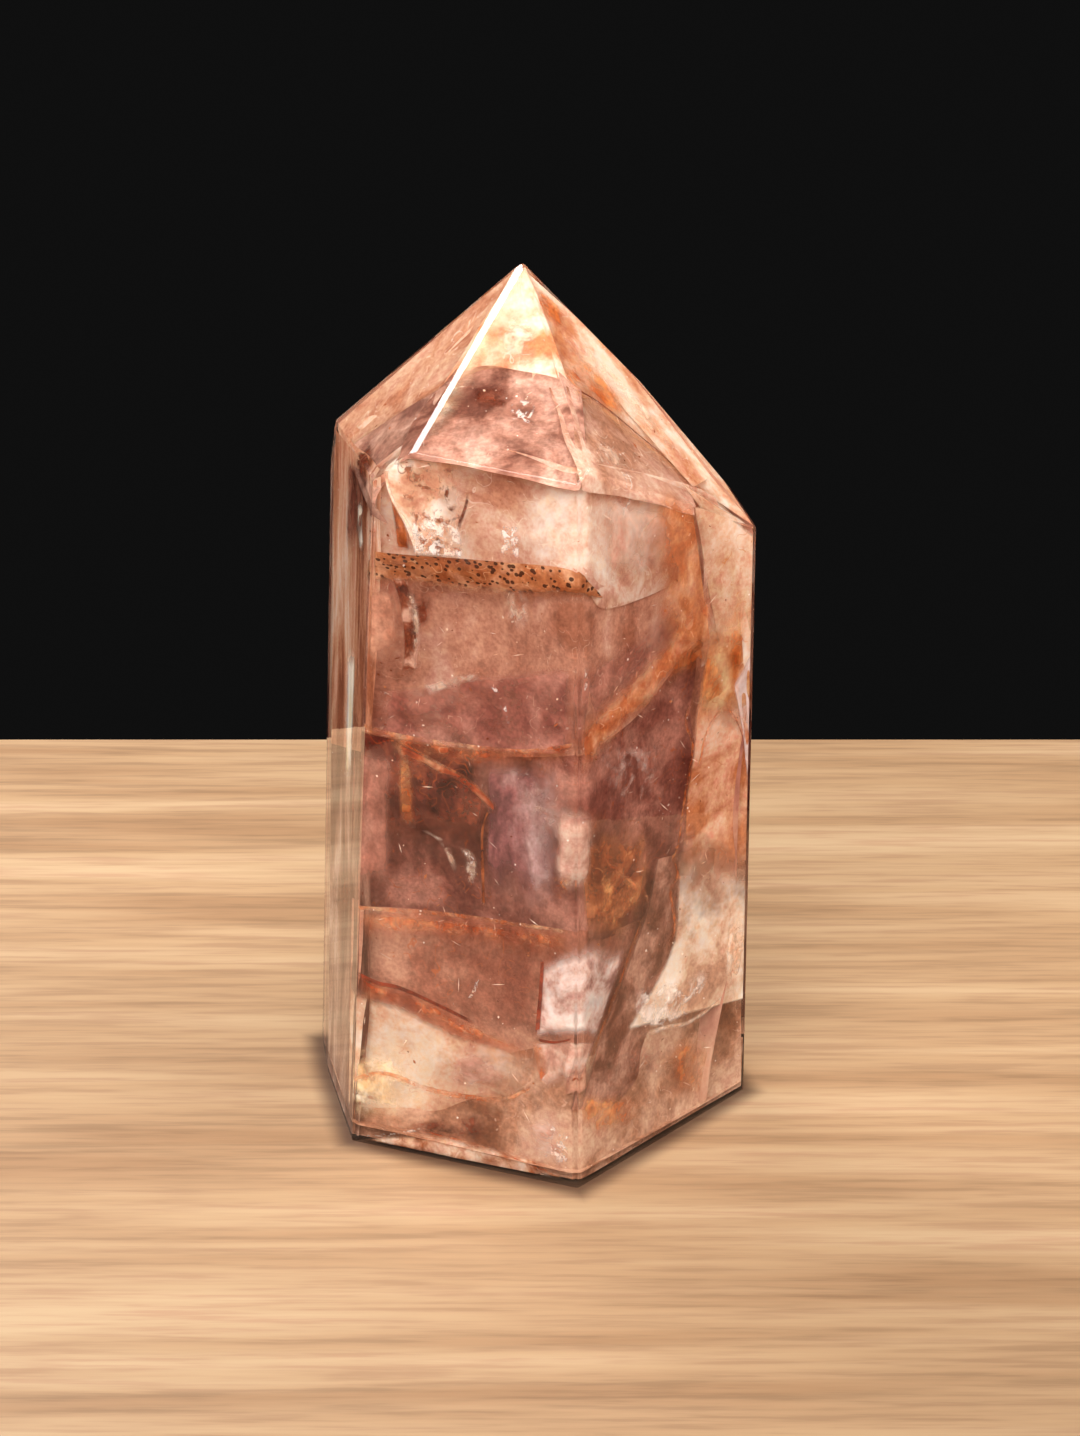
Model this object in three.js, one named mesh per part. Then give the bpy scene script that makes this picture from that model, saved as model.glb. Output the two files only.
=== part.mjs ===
// Hematoid quartz point: one natural quartz crystal stained by iron oxide, cut and
// polished into a free-standing tower with a pointed tip and a flat foot.
// Millimetres, +Z up. The broad front facet looks towards -Y, the foot lies on Z = 0 and
// the origin is the middle of the foot's bounding rectangle.

import * as THREE from 'three';

// Driving dimensions
const APEX_HEIGHT = 100.2; // foot to the point where the tip facets meet, before easing
const EDGE_RADIUS = 0.25; // polishing leaves every edge and corner this round
const DEGREES_PER_STEP = 18; // a rounded edge turns by about this much at each crease

// The shaft's facets. azimuth is the compass bearing of the outward normal, anticlockwise
// from +X; lean is how far the facet tips back from upright; reach is its distance, at the
// foot, from the plumb line through the apex. The two left facets part at a long, very
// blunt edge.
const SHAFT_FACETS = [
  { name: 'front', azimuth: -113, lean: 0, reach: 24.23 },
  { name: 'right', azimuth: -40.4, lean: 0.3, reach: 23.59 },
  { name: 'right back', azimuth: 20, lean: 0, reach: 22.94 },
  { name: 'back right', azimuth: 68.6, lean: 0, reach: 19.53 },
  { name: 'back left', azimuth: 118, lean: 0, reach: 18.55 },
  { name: 'left rear strip', azimuth: -172, lean: 2.2, reach: 23.58 },
  { name: 'left', azimuth: -167.5, lean: 2.5, reach: 23.31 },
];

// The tip's facets. slope is the normal's rise above level; gap is how far outside the
// apex the facet's plane passes, so that a facet with no gap meets the others there. The
// left ridge is a narrow bevel that shaves the apex, and the three right-hand steps make
// the shoulder's curved outline.
const TIP_FACETS = [
  { name: 'tip front', azimuth: -107.2, slope: 57.5, gap: 0 },
  { name: 'tip right', azimuth: -14.7, slope: 42.3, gap: 0 },
  { name: 'tip right step', azimuth: 30, slope: 40.1, gap: 0 },
  { name: 'lower right step', azimuth: 30, slope: 32.6, gap: 2.39 },
  { name: 'right shoulder', azimuth: 30, slope: 17.7, gap: 10.48 },
  { name: 'tip back', azimuth: 70, slope: 34, gap: 0 },
  { name: 'tip back left', azimuth: 120, slope: 36.4, gap: 0 },
  { name: 'tip left', azimuth: -168.7, slope: 45.7, gap: 0 },
  { name: 'left ridge', azimuth: -141, slope: 56, gap: -0.2 },
];

const SAME_CORNER = 1e-5; // outline points closer than this are one corner
const BLANK_SIZE = 400; // half-width of the square that each facet is cut from

function outwardNormal(azimuth, rise) {
  const turn = THREE.MathUtils.degToRad(azimuth);
  const lift = THREE.MathUtils.degToRad(rise);
  return new THREE.Vector3(
    Math.cos(lift) * Math.cos(turn),
    Math.cos(lift) * Math.sin(turn),
    Math.sin(lift),
  );
}

// Every facet as a plane, normal . point = offset, with the apex on the Z axis.
function facetPlanes() {
  const foot = { name: 'foot', normal: new THREE.Vector3(0, 0, -1), offset: 0 };
  const shaft = SHAFT_FACETS.map(({ name, azimuth, lean, reach }) => {
    const normal = outwardNormal(azimuth, lean);
    return { name, normal, offset: reach * Math.hypot(normal.x, normal.y) };
  });
  const tip = TIP_FACETS.map(({ name, azimuth, slope, gap }) => {
    const normal = outwardNormal(azimuth, slope);
    return { name, normal, offset: APEX_HEIGHT * normal.z + gap };
  });
  return [foot, ...shaft, ...tip];
}

// The part of a convex outline on the inner side of a plane.
function cutOutline(outline, plane) {
  const kept = [];
  outline.forEach((point, index) => {
    const next = outline[(index + 1) % outline.length];
    const depth = plane.offset - plane.normal.dot(point);
    const nextDepth = plane.offset - plane.normal.dot(next);
    if (depth >= 0) kept.push(point);
    if (depth * nextDepth < 0) {
      kept.push(point.clone().lerp(next, depth / (depth - nextDepth)));
    }
  });
  return kept;
}

// A facet's outline, anticlockwise from outside: a large square cut by all other planes.
function facetOutline(plane, planes) {
  const across = new THREE.Vector3(0, 0, 1).cross(plane.normal);
  if (across.length() < SAME_CORNER) across.set(1, 0, 0);
  across.normalize();
  const up = plane.normal.clone().cross(across);
  const centre = plane.normal.clone().multiplyScalar(plane.offset);
  const square = [[-1, -1], [1, -1], [1, 1], [-1, 1]].map(([u, v]) => centre.clone()
    .addScaledVector(across, u * BLANK_SIZE)
    .addScaledVector(up, v * BLANK_SIZE));
  return planes.reduce(
    (outline, other) => (other === plane ? outline : cutOutline(outline, other)),
    square,
  );
}

// The sharp crystal: its corners, and each facet as a loop of corner numbers.
function sharpCrystal(planes) {
  const corners = [];
  const cornerNumber = (point) => {
    const found = corners.findIndex((corner) => corner.distanceTo(point) < SAME_CORNER);
    return found >= 0 ? found : corners.push(point) - 1;
  };
  const facets = planes.map((plane) => {
    const numbers = facetOutline(plane, planes).map(cornerNumber);
    const loop = numbers.filter((number, index) => number !== numbers.at(index - 1));
    return { name: plane.name, normal: plane.normal, loop };
  });
  const missing = facets.find((facet) => facet.loop.length < 3);
  if (missing) throw new Error(`the facet "${missing.name}" is cut away by the others`);
  return { corners, facets };
}

// Unit normals that turn evenly from one facet's normal to its neighbour's.
function turningNormals(from, to) {
  const turn = from.angleTo(to);
  const steps = Math.max(1, Math.round(THREE.MathUtils.radToDeg(turn) / DEGREES_PER_STEP));
  return Array.from({ length: steps + 1 }, (_, step) => {
    const share = step / steps;
    return from.clone()
      .multiplyScalar(Math.sin((1 - share) * turn))
      .addScaledVector(to, Math.sin(share * turn))
      .normalize();
  });
}

// The crystal with every edge and corner rounded to the same radius. All planes are moved
// in by that radius and a ball is rolled over what is left, so each facet keeps its plane,
// each edge becomes a narrow strip of a cylinder and each corner a patch of a sphere.
function roundedCrystal(planes, radius) {
  const inner = planes.map((plane) => ({ ...plane, offset: plane.offset - radius }));
  const { corners, facets } = sharpCrystal(inner);
  const positions = [];
  const outer = (corner, normal) => corners[corner].clone().addScaledVector(normal, radius);
  const addTriangle = (...points) => points.forEach((point) => positions.push(...point));

  // which facet runs from one corner to the next, so that both sides of an edge are known
  const facetAlong = new Map();
  facets.forEach((facet) => facet.loop.forEach((corner, index) => {
    const next = facet.loop[(index + 1) % facet.loop.length];
    facetAlong.set(`${corner} ${next}`, facet);
  }));

  for (const { normal, loop } of facets) {
    for (let index = 1; index < loop.length - 1; index += 1) {
      addTriangle(...[loop[0], loop[index], loop[index + 1]].map((c) => outer(c, normal)));
    }
  }

  facets.forEach((facet) => facet.loop.forEach((start, index) => {
    const end = facet.loop[(index + 1) % facet.loop.length];
    if (start > end) return; // the facet on the edge's other side makes it
    const neighbour = facetAlong.get(`${end} ${start}`);
    const normals = turningNormals(facet.normal, neighbour.normal);
    for (let step = 1; step < normals.length; step += 1) {
      const [near, far] = [normals[step - 1], normals[step]];
      addTriangle(outer(end, near), outer(start, near), outer(start, far));
      addTriangle(outer(end, near), outer(start, far), outer(end, far));
    }
  }));

  corners.forEach((_, corner) => {
    const first = facets.find((facet) => facet.loop.includes(corner));
    const middle = new THREE.Vector3();
    const rim = [];
    let facet = first;
    do {
      const before = facet.loop.at(facet.loop.indexOf(corner) - 1);
      const next = facetAlong.get(`${corner} ${before}`);
      const normals = corner < before
        ? turningNormals(next.normal, facet.normal).reverse()
        : turningNormals(facet.normal, next.normal);
      rim.push(...normals.slice(0, -1));
      middle.add(facet.normal);
      facet = next;
    } while (facet !== first);
    middle.normalize();
    rim.forEach((normal, index) => {
      const next = rim[(index + 1) % rim.length];
      addTriangle(outer(corner, middle), outer(corner, normal), outer(corner, next));
    });
  });

  const geometry = new THREE.BufferGeometry();
  geometry.setAttribute('position', new THREE.Float32BufferAttribute(positions, 3));
  geometry.computeBoundingBox();
  const middle = geometry.boundingBox.getCenter(new THREE.Vector3());
  geometry.translate(-middle.x, -middle.y, -geometry.boundingBox.min.z);
  geometry.computeVertexNormals();
  return geometry;
}

// Polished, iron-stained quartz: peach to red-brown inside, glassy outside.
function hematoidQuartz() {
  return new THREE.MeshStandardMaterial({
    color: 0xc08a72,
    roughness: 0.06,
    metalness: 0,
    flatShading: true,
  });
}

const crystal = new THREE.Mesh(roundedCrystal(facetPlanes(), EDGE_RADIUS), hematoidQuartz());
crystal.name = 'quartz_point';

const group = new THREE.Group();
group.add(crystal);

export default group;
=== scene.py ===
"""Hematoid quartz point: a polished, free-standing tower of iron-stained quartz.

The crystal is one clear solid. What gives it its look lies inside: fractures that healed
with iron oxide on them, milky veils, stains, needles and flakes. They are built here as
thin curved sheets inside the solid, and the solid itself gets a polished, refracting
finish. Metres, +Z up, the broad front facet towards -Y.
"""

import bpy
import numpy as np
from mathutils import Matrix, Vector


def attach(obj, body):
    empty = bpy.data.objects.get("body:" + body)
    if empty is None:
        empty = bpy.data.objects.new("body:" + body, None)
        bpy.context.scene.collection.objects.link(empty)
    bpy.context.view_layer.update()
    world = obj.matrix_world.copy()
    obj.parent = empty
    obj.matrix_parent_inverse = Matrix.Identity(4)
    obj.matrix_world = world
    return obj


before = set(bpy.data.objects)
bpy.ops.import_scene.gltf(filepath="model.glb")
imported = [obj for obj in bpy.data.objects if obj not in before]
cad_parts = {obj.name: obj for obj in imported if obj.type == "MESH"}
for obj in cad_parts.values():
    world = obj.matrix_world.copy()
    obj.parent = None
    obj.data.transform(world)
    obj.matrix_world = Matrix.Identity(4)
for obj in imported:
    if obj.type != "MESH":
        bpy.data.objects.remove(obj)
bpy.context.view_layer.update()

# The view. A long lens in front of the crystal looks down on it, so that the far edge of
# the table crosses behind the middle of the shaft.
MM = 0.001
CAMERA_PLACE = np.array([1.24, -361.5, 193.6]) * MM
CAMERA_DOWN = np.radians(22.0)
LENS_MM = 85.0
SENSOR_MM = 36.0
PICTURE_WIDE, PICTURE_HIGH = 1080, 1436

camera_data = bpy.data.cameras.new("camera")
camera_data.lens = LENS_MM
camera_data.sensor_width = SENSOR_MM
camera_data.clip_start = 0.01
camera = bpy.data.objects.new("camera", camera_data)
camera.location = CAMERA_PLACE
camera.rotation_euler = (np.pi / 2 - CAMERA_DOWN, 0, 0)
bpy.context.scene.collection.objects.link(camera)
bpy.context.scene.camera = camera

# The crystal. One solid of clear quartz, ground flat and polished on every facet: glassy
# outside, faintly rose inside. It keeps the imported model's own faces.
QUARTZ_IOR = 1.544
QUARTZ_TINT = (0.96, 0.80, 0.74)
QUARTZ_DEPTH_PER_M = 9.0
POLISH_WAVE = 9 * MM
POLISH_MARK = 0.5 * MM
WAVE_SHARE = 0.6
MARK_SHARE = 0.05


def linear(red, green, blue):
    """A colour given in screen values from 0 to 255, as the light values that shaders use."""
    share = np.array([red, green, blue]) / 255
    low = share / 12.92
    high = ((share + 0.055) / 1.055) ** 2.4
    return (*np.where(share <= 0.04045, low, high).tolist(), 1.0)


class Finish:
    """A material under construction: node() adds a node and links or sets its inputs."""

    def __init__(self, name):
        self.material = bpy.data.materials.new(name)
        self.material.use_nodes = True
        self.tree = self.material.node_tree
        self.tree.nodes.clear()
        self.output = self.tree.nodes.new("ShaderNodeOutputMaterial")

    def set(self, socket, value):
        if isinstance(value, bpy.types.NodeSocket):
            self.tree.links.new(value, socket)
        else:
            socket.default_value = value

    def node(self, kind, inputs=(), **settings):
        made = self.tree.nodes.new("ShaderNode" + kind)
        for name, value in settings.items():
            setattr(made, name, value)
        for name, value in dict(inputs).items():
            self.set(made.inputs[name], value)
        return made.outputs

    def math(self, operation, *values, clamp=False):
        made = self.tree.nodes.new("ShaderNodeMath")
        made.operation = operation
        made.use_clamp = clamp
        for socket, value in zip(made.inputs, values):
            self.set(socket, value)
        return made.outputs[0]

    def place(self, name="Object"):
        return self.node("TexCoord")[name]

    def noise(self, grain, detail=5.0, roughness=0.55, distortion=0.0, stretch=None):
        """Fractal noise whose largest lumps are grain metres across."""
        at = self.place()
        if stretch:
            at = self.node("Mapping", {"Vector": at, "Scale": stretch})[0]
        values = {"Vector": at, "Scale": 1 / grain, "Detail": detail,
                  "Roughness": roughness, "Distortion": distortion}
        return self.node("TexNoise", values)["Fac"]

    def ramp(self, factor, stops):
        """Colours or greys blended along factor, from (place, colour) pairs."""
        made = self.tree.nodes.new("ShaderNodeValToRGB")
        elements = made.color_ramp.elements
        while len(elements) < len(stops):
            elements.new(1.0)
        for element, (at, colour) in zip(elements, stops):
            element.position = at
            element.color = colour if isinstance(colour, tuple) else (colour,) * 3 + (1,)
        self.set(made.inputs["Fac"], factor)
        return made.outputs["Color"]

    def mix(self, factor, first, second, blend="MIX"):
        made = self.tree.nodes.new("ShaderNodeMix")
        made.data_type = "RGBA"
        made.blend_type = blend
        for index, value in ((0, factor), (6, first), (7, second)):
            self.set(made.inputs[index], value)
        return made.outputs[2]

    def blend(self, factor, first, second):
        made = self.tree.nodes.new("ShaderNodeMixShader")
        for socket, value in zip(made.inputs, (factor, first, second)):
            self.set(socket, value)
        return made.outputs[0]

    def show(self, surface, volume=None):
        self.set(self.output.inputs["Surface"], surface)
        if volume:
            self.set(self.output.inputs["Volume"], volume)
        return self.material


def polished_quartz():
    """Clear quartz that bends light, with the faint waves and hairline marks of polishing."""
    look = Finish("polished_quartz")
    waves = look.math("MULTIPLY", look.noise(POLISH_WAVE, detail=2), WAVE_SHARE)
    marks = look.noise(POLISH_MARK, detail=3, stretch=(1, 1, 0.15))
    relief = look.math("ADD", waves, look.math("MULTIPLY", marks, MARK_SHARE))
    bump = look.node("Bump", {"Height": relief, "Strength": 0.05, "Distance": 0.5 * MM})[0]
    glass = look.node("BsdfPrincipled", {
        "Base Color": (1, 1, 1, 1),
        "Transmission Weight": 1.0,
        "IOR": QUARTZ_IOR,
        "Roughness": 0.015,
        "Normal": bump,
    })[0]
    lit_through = look.node("BsdfTransparent", {"Color": (0.98, 0.95, 0.93, 1)})[0]
    is_shadow = look.node("LightPath")["Is Shadow Ray"]
    body = look.node("VolumeAbsorption", {
        "Color": (*QUARTZ_TINT, 1),
        "Density": QUARTZ_DEPTH_PER_M,
    })[0]
    return look.show(look.blend(is_shadow, glass, lit_through), body)


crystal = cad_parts["quartz_point"]
crystal.data.materials.clear()
crystal.data.materials.append(polished_quartz())


def facet_planes(mesh, least_area):
    """The large flat facets of a mesh as (normals, distances): triangles that share a plane
    are gathered, and those planes with at least least_area of them are kept."""
    triangles = len(mesh.polygons)
    normals = np.empty(triangles * 3)
    centres = np.empty(triangles * 3)
    areas = np.empty(triangles)
    mesh.polygons.foreach_get("normal", normals)
    mesh.polygons.foreach_get("center", centres)
    mesh.polygons.foreach_get("area", areas)
    normals = normals.reshape(-1, 3)
    distances = (normals * centres.reshape(-1, 3)).sum(1)
    parallel = normals @ normals.T > 0.99999
    alike = parallel & (abs(distances[:, None] - distances) < 0.02 * MM)
    together = alike @ areas
    first = alike.argmax(1) == np.arange(triangles)
    kept = first & (together > least_area)
    return normals[kept], distances[kept]


SMALLEST_FACET = 12 * MM ** 2
FACET_NORMALS, FACET_DISTANCES = facet_planes(crystal.data, SMALLEST_FACET)


def facet(azimuth, rise):
    """The number of the facet whose outward normal is nearest to this bearing and rise."""
    turn, lift = np.radians([azimuth, rise])
    wanted = [np.cos(lift) * np.cos(turn), np.cos(lift) * np.sin(turn), np.sin(lift)]
    return int((FACET_NORMALS @ wanted).argmax())


FRONT, RIGHT, LEFT = facet(-113, 0), facet(-40, 0), facet(-167, 2)
TIP_FRONT, TIP_RIGHT, TIP_LEFT = facet(-107, 57), facet(-15, 42), facet(-169, 46)

# Veils that cross the whole crystal. Quartz like this cracked and healed many times as it
# grew; the old cracks are cloudy, gently bent sheets that end at the polished skin.
SKIN = 0.5 * MM
RIPPLE_SPAN = 50 * MM


def ripple(u, v, seed, waves=5):
    """A smooth height between about -1 and 1: a sum of sine waves whose directions, lengths
    and phases come from the seed."""
    draw = np.random.default_rng(seed)
    total = np.zeros(np.broadcast(u, v).shape)
    for step in range(waves):
        turn, phase = draw.uniform(0, 2 * np.pi, 2)
        pace = 2 * np.pi * (0.5 + 0.7 * step)
        total += np.sin(pace * (u * np.cos(turn) + v * np.sin(turn)) + phase) / (1 + step)
    return total / 1.6


def keep_inside(points, margin=SKIN):
    """Points that are outside a facet, or within margin of it, slid straight back in."""
    for _ in range(4):
        for normal, distance in zip(FACET_NORMALS, FACET_DISTANCES - margin):
            excess = np.maximum(points @ normal - distance, 0)
            points = points - excess[..., None] * normal
    return points


def reach_to_skin(start, directions, margin=SKIN):
    """How far each ray can go from start before it is within margin of a facet."""
    facing = directions @ FACET_NORMALS.T
    room = FACET_DISTANCES - margin - start @ FACET_NORMALS.T
    return np.where(facing > 1e-6, room / np.maximum(facing, 1e-6), np.inf).min(-1)


def grid_faces(rows, columns):
    """The corner numbers of the squares of a grid whose points are numbered row by row."""
    corner = np.arange(rows * columns).reshape(rows, columns)
    square = [corner[:-1, :-1], corner[:-1, 1:], corner[1:, 1:], corner[1:, :-1]]
    return np.stack(square, -1).reshape(-1, 4)


def new_piece(name, points, faces, uv, material):
    """A mesh object with one material, a UV place for each point, and smooth faces."""
    mesh = bpy.data.meshes.new(name)
    mesh.from_pydata(points.reshape(-1, 3), [], faces)
    layer = mesh.uv_layers.new(name="sheet")
    corners = np.empty(len(mesh.loops), dtype=np.int32)
    mesh.loops.foreach_get("vertex_index", corners)
    layer.data.foreach_set("uv", uv.reshape(-1, 2)[corners].ravel())
    mesh.shade_smooth()
    mesh.materials.append(material)
    piece = bpy.data.objects.new(name, mesh)
    bpy.context.scene.collection.objects.link(piece)
    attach(piece, "root")
    return piece


def veil_across(name, centre, azimuth, rise, bend, seed, material, rings=60, spokes=120):
    """A bent disc that fills the crystal's whole section. In its plane a point is centre plus
    a radius at a turning angle, and the radius runs from 0 to the skin; the disc then leaves
    its plane by bend times a smooth ripple, and points that leave the crystal come back."""
    centre = np.array(centre) * MM
    turn, lift = np.radians([azimuth, rise])
    normal = np.array([np.cos(lift) * np.cos(turn), np.cos(lift) * np.sin(turn), np.sin(lift)])
    across = np.array([-np.sin(turn), np.cos(turn), 0])
    up = np.cross(normal, across)
    angle = np.linspace(0, 2 * np.pi, spokes)[None, :, None]
    spread = np.linspace(0.004, 1, rings)[:, None, None]
    direction = np.cos(angle) * across + np.sin(angle) * up
    radius = spread * reach_to_skin(centre, direction)[..., None]
    u = (radius * np.cos(angle))[..., 0] / RIPPLE_SPAN
    v = (radius * np.sin(angle))[..., 0] / RIPPLE_SPAN
    lifted = centre + radius * direction + (bend * MM * ripple(u, v, seed))[..., None] * normal
    faces = grid_faces(rings, spokes)
    return new_piece(name, keep_inside(lifted), faces, np.stack([u, v], -1), material)


def cloudy_veil(name, tones, density, grain, contrast=0.2, sheen=0.5):
    """A healed crack: soft clouds in several tones, denser in patches. sheen is the share of
    light that it lets through."""
    look = Finish(name)
    cloud = look.noise(grain, detail=6, roughness=0.6, distortion=0.6)
    colour = look.ramp(cloud, [(0.3 + 0.4 * step / (len(tones) - 1), tone)
                               for step, tone in enumerate(tones)])
    fine = look.noise(grain / 9, detail=5, roughness=0.65)
    colour = look.mix(0.35, colour, look.ramp(fine, [(0.3, 0.25), (0.7, 0.8)]), "OVERLAY")
    patches = look.noise(grain * 1.4, detail=4, roughness=0.5)
    cover = look.node("MapRange", {
        "Value": patches, "From Min": 0.5 - contrast, "From Max": 0.5 + contrast,
        "To Min": density[0], "To Max": density[1],
    })[0]
    front = look.node("BsdfDiffuse", {"Color": colour})[0]
    through = look.node("BsdfTranslucent", {"Color": colour})[0]
    clear = look.node("BsdfTransparent")[0]
    return look.show(look.blend(cover, clear, look.blend(sheen, front, through)))


SALMON = linear(206, 146, 124)
PEACH = linear(236, 190, 158)
ROSE_BROWN = linear(160, 98, 84)

deep_veil = cloudy_veil("deep_veil", [ROSE_BROWN, SALMON, PEACH], density=(0.92, 1.0),
                        grain=14 * MM)
veil_across("veil_middle", centre=(-1, 6, 46), azimuth=-108, rise=4, bend=2.0, seed=11,
            material=deep_veil)

# Sheets seen through one facet. Each hangs on lines of sight, which bend at the polished
# facet, and so it is a curved skin inside the stone from every side. A spot on an edge or a
# path is (x, y, depth): points of the 1080 by 1436 picture, and mm behind the facet.
FOCAL = LENS_MM / SENSOR_MM * PICTURE_HIGH


def sight_lines(picture, facet_number):
    """Where lines of sight through picture points meet a facet's plane, and their direction
    inside the quartz. By Snell's law the part of the ray along the facet shrinks by the
    index, and the rest of its unit length points inwards."""
    x, y = np.moveaxis(np.asarray(picture, dtype=float), -1, 0)
    forward = np.array([0, np.cos(CAMERA_DOWN), -np.sin(CAMERA_DOWN)])
    upward = np.array([0, np.sin(CAMERA_DOWN), np.cos(CAMERA_DOWN)])
    sideways = ((x - PICTURE_WIDE / 2) / FOCAL)[..., None] * np.array([1, 0, 0])
    ray = forward + sideways + ((PICTURE_HIGH / 2 - y) / FOCAL)[..., None] * upward
    ray /= np.linalg.norm(ray, axis=-1, keepdims=True)
    normal = FACET_NORMALS[facet_number]
    ahead = (FACET_DISTANCES[facet_number] - CAMERA_PLACE @ normal) / (ray @ normal)
    entry = CAMERA_PLACE + ahead[..., None] * ray
    along = (ray - (ray @ normal)[..., None] * normal) / QUARTZ_IOR
    inward = np.sqrt(1 - (along ** 2).sum(-1, keepdims=True))
    return entry, along - inward * normal


def smooth_curve(points, count):
    """A Catmull-Rom curve through the points at count even steps of its parameter: each
    stretch is the cubic whose slope at a point is half the step between its neighbours."""
    points = np.asarray(points, dtype=float)
    padded = np.vstack([2 * points[0] - points[1], points, 2 * points[-1] - points[-2]])
    place = np.linspace(0, len(points) - 1, count)
    start = np.minimum(place.astype(int), len(points) - 2)
    t = (place - start)[:, None]
    before, here, after, beyond = (padded[start + step] for step in range(4))
    return 0.5 * (2 * here + (after - before) * t
                  + (2 * before - 5 * here + 4 * after - beyond) * t ** 2
                  + (3 * here - before - 3 * after + beyond) * t ** 3)


def under(facet_number, *spots):
    """Points inside the stone for spots (x, y, depth in mm): picture place and how far the
    bent line of sight runs on behind the facet."""
    spots = np.array(spots, dtype=float)
    entry, inward = sight_lines(spots[:, :2], facet_number)
    return entry + spots[:, 2:] * MM * inward


def sheet_between(name, upper, lower, material, bend=0.4, seed=1, columns=60, rows=24):
    """A sheet between an upper and a lower edge. Each edge is a smooth curve through its
    points; a point is the blend of the two at (u, v), pushed off along the sheet's normal by
    bend mm times a smooth ripple, and kept inside the skin."""
    u = np.linspace(0, 1, columns)[None, :]
    v = np.linspace(0, 1, rows)[:, None]
    top, foot = (smooth_curve(np.vstack(edge), columns) for edge in (upper, lower))
    points = (1 - v)[..., None] * top + v[..., None] * foot
    normal = np.cross(np.gradient(points, axis=1), np.gradient(points, axis=0))
    normal /= np.linalg.norm(normal, axis=-1, keepdims=True) + 1e-12
    points = keep_inside(points + bend * MM * ripple(u, v, seed)[..., None] * normal)
    uv = np.stack(np.broadcast_arrays(u, v), -1)
    return new_piece(name, points, grid_faces(rows, columns), uv, material)


OPAQUE = (1, 1)
NO_FADE = (0, 0, 0, 0)
FIRST_TONE_AT = 0.38
TONE_SPREAD = 0.24
MOTTLE_SIZE = 1.6 * MM
MOTTLE_SHARE = 0.4
GRIT_SIZE = 0.45 * MM
GRIT_SHARE = 0.22
THREAD_LOOP = 3 * MM
THREAD_WIDTH = 0.012
THREAD_SHARE = 0.6
CRUMB_SPACING = 0.75 * MM
CRUMB_SIZE = 0.66
CRUMB_SHARE = 0.9
BUBBLE_SPACING = 1.1 * MM
BUBBLE_SIZE = 0.2
BUBBLE_WHITE = linear(255, 240, 226)
WORN_EDGE_SIZE = 4 * MM
WORN_EDGE_DEPTH = 1.8


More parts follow.
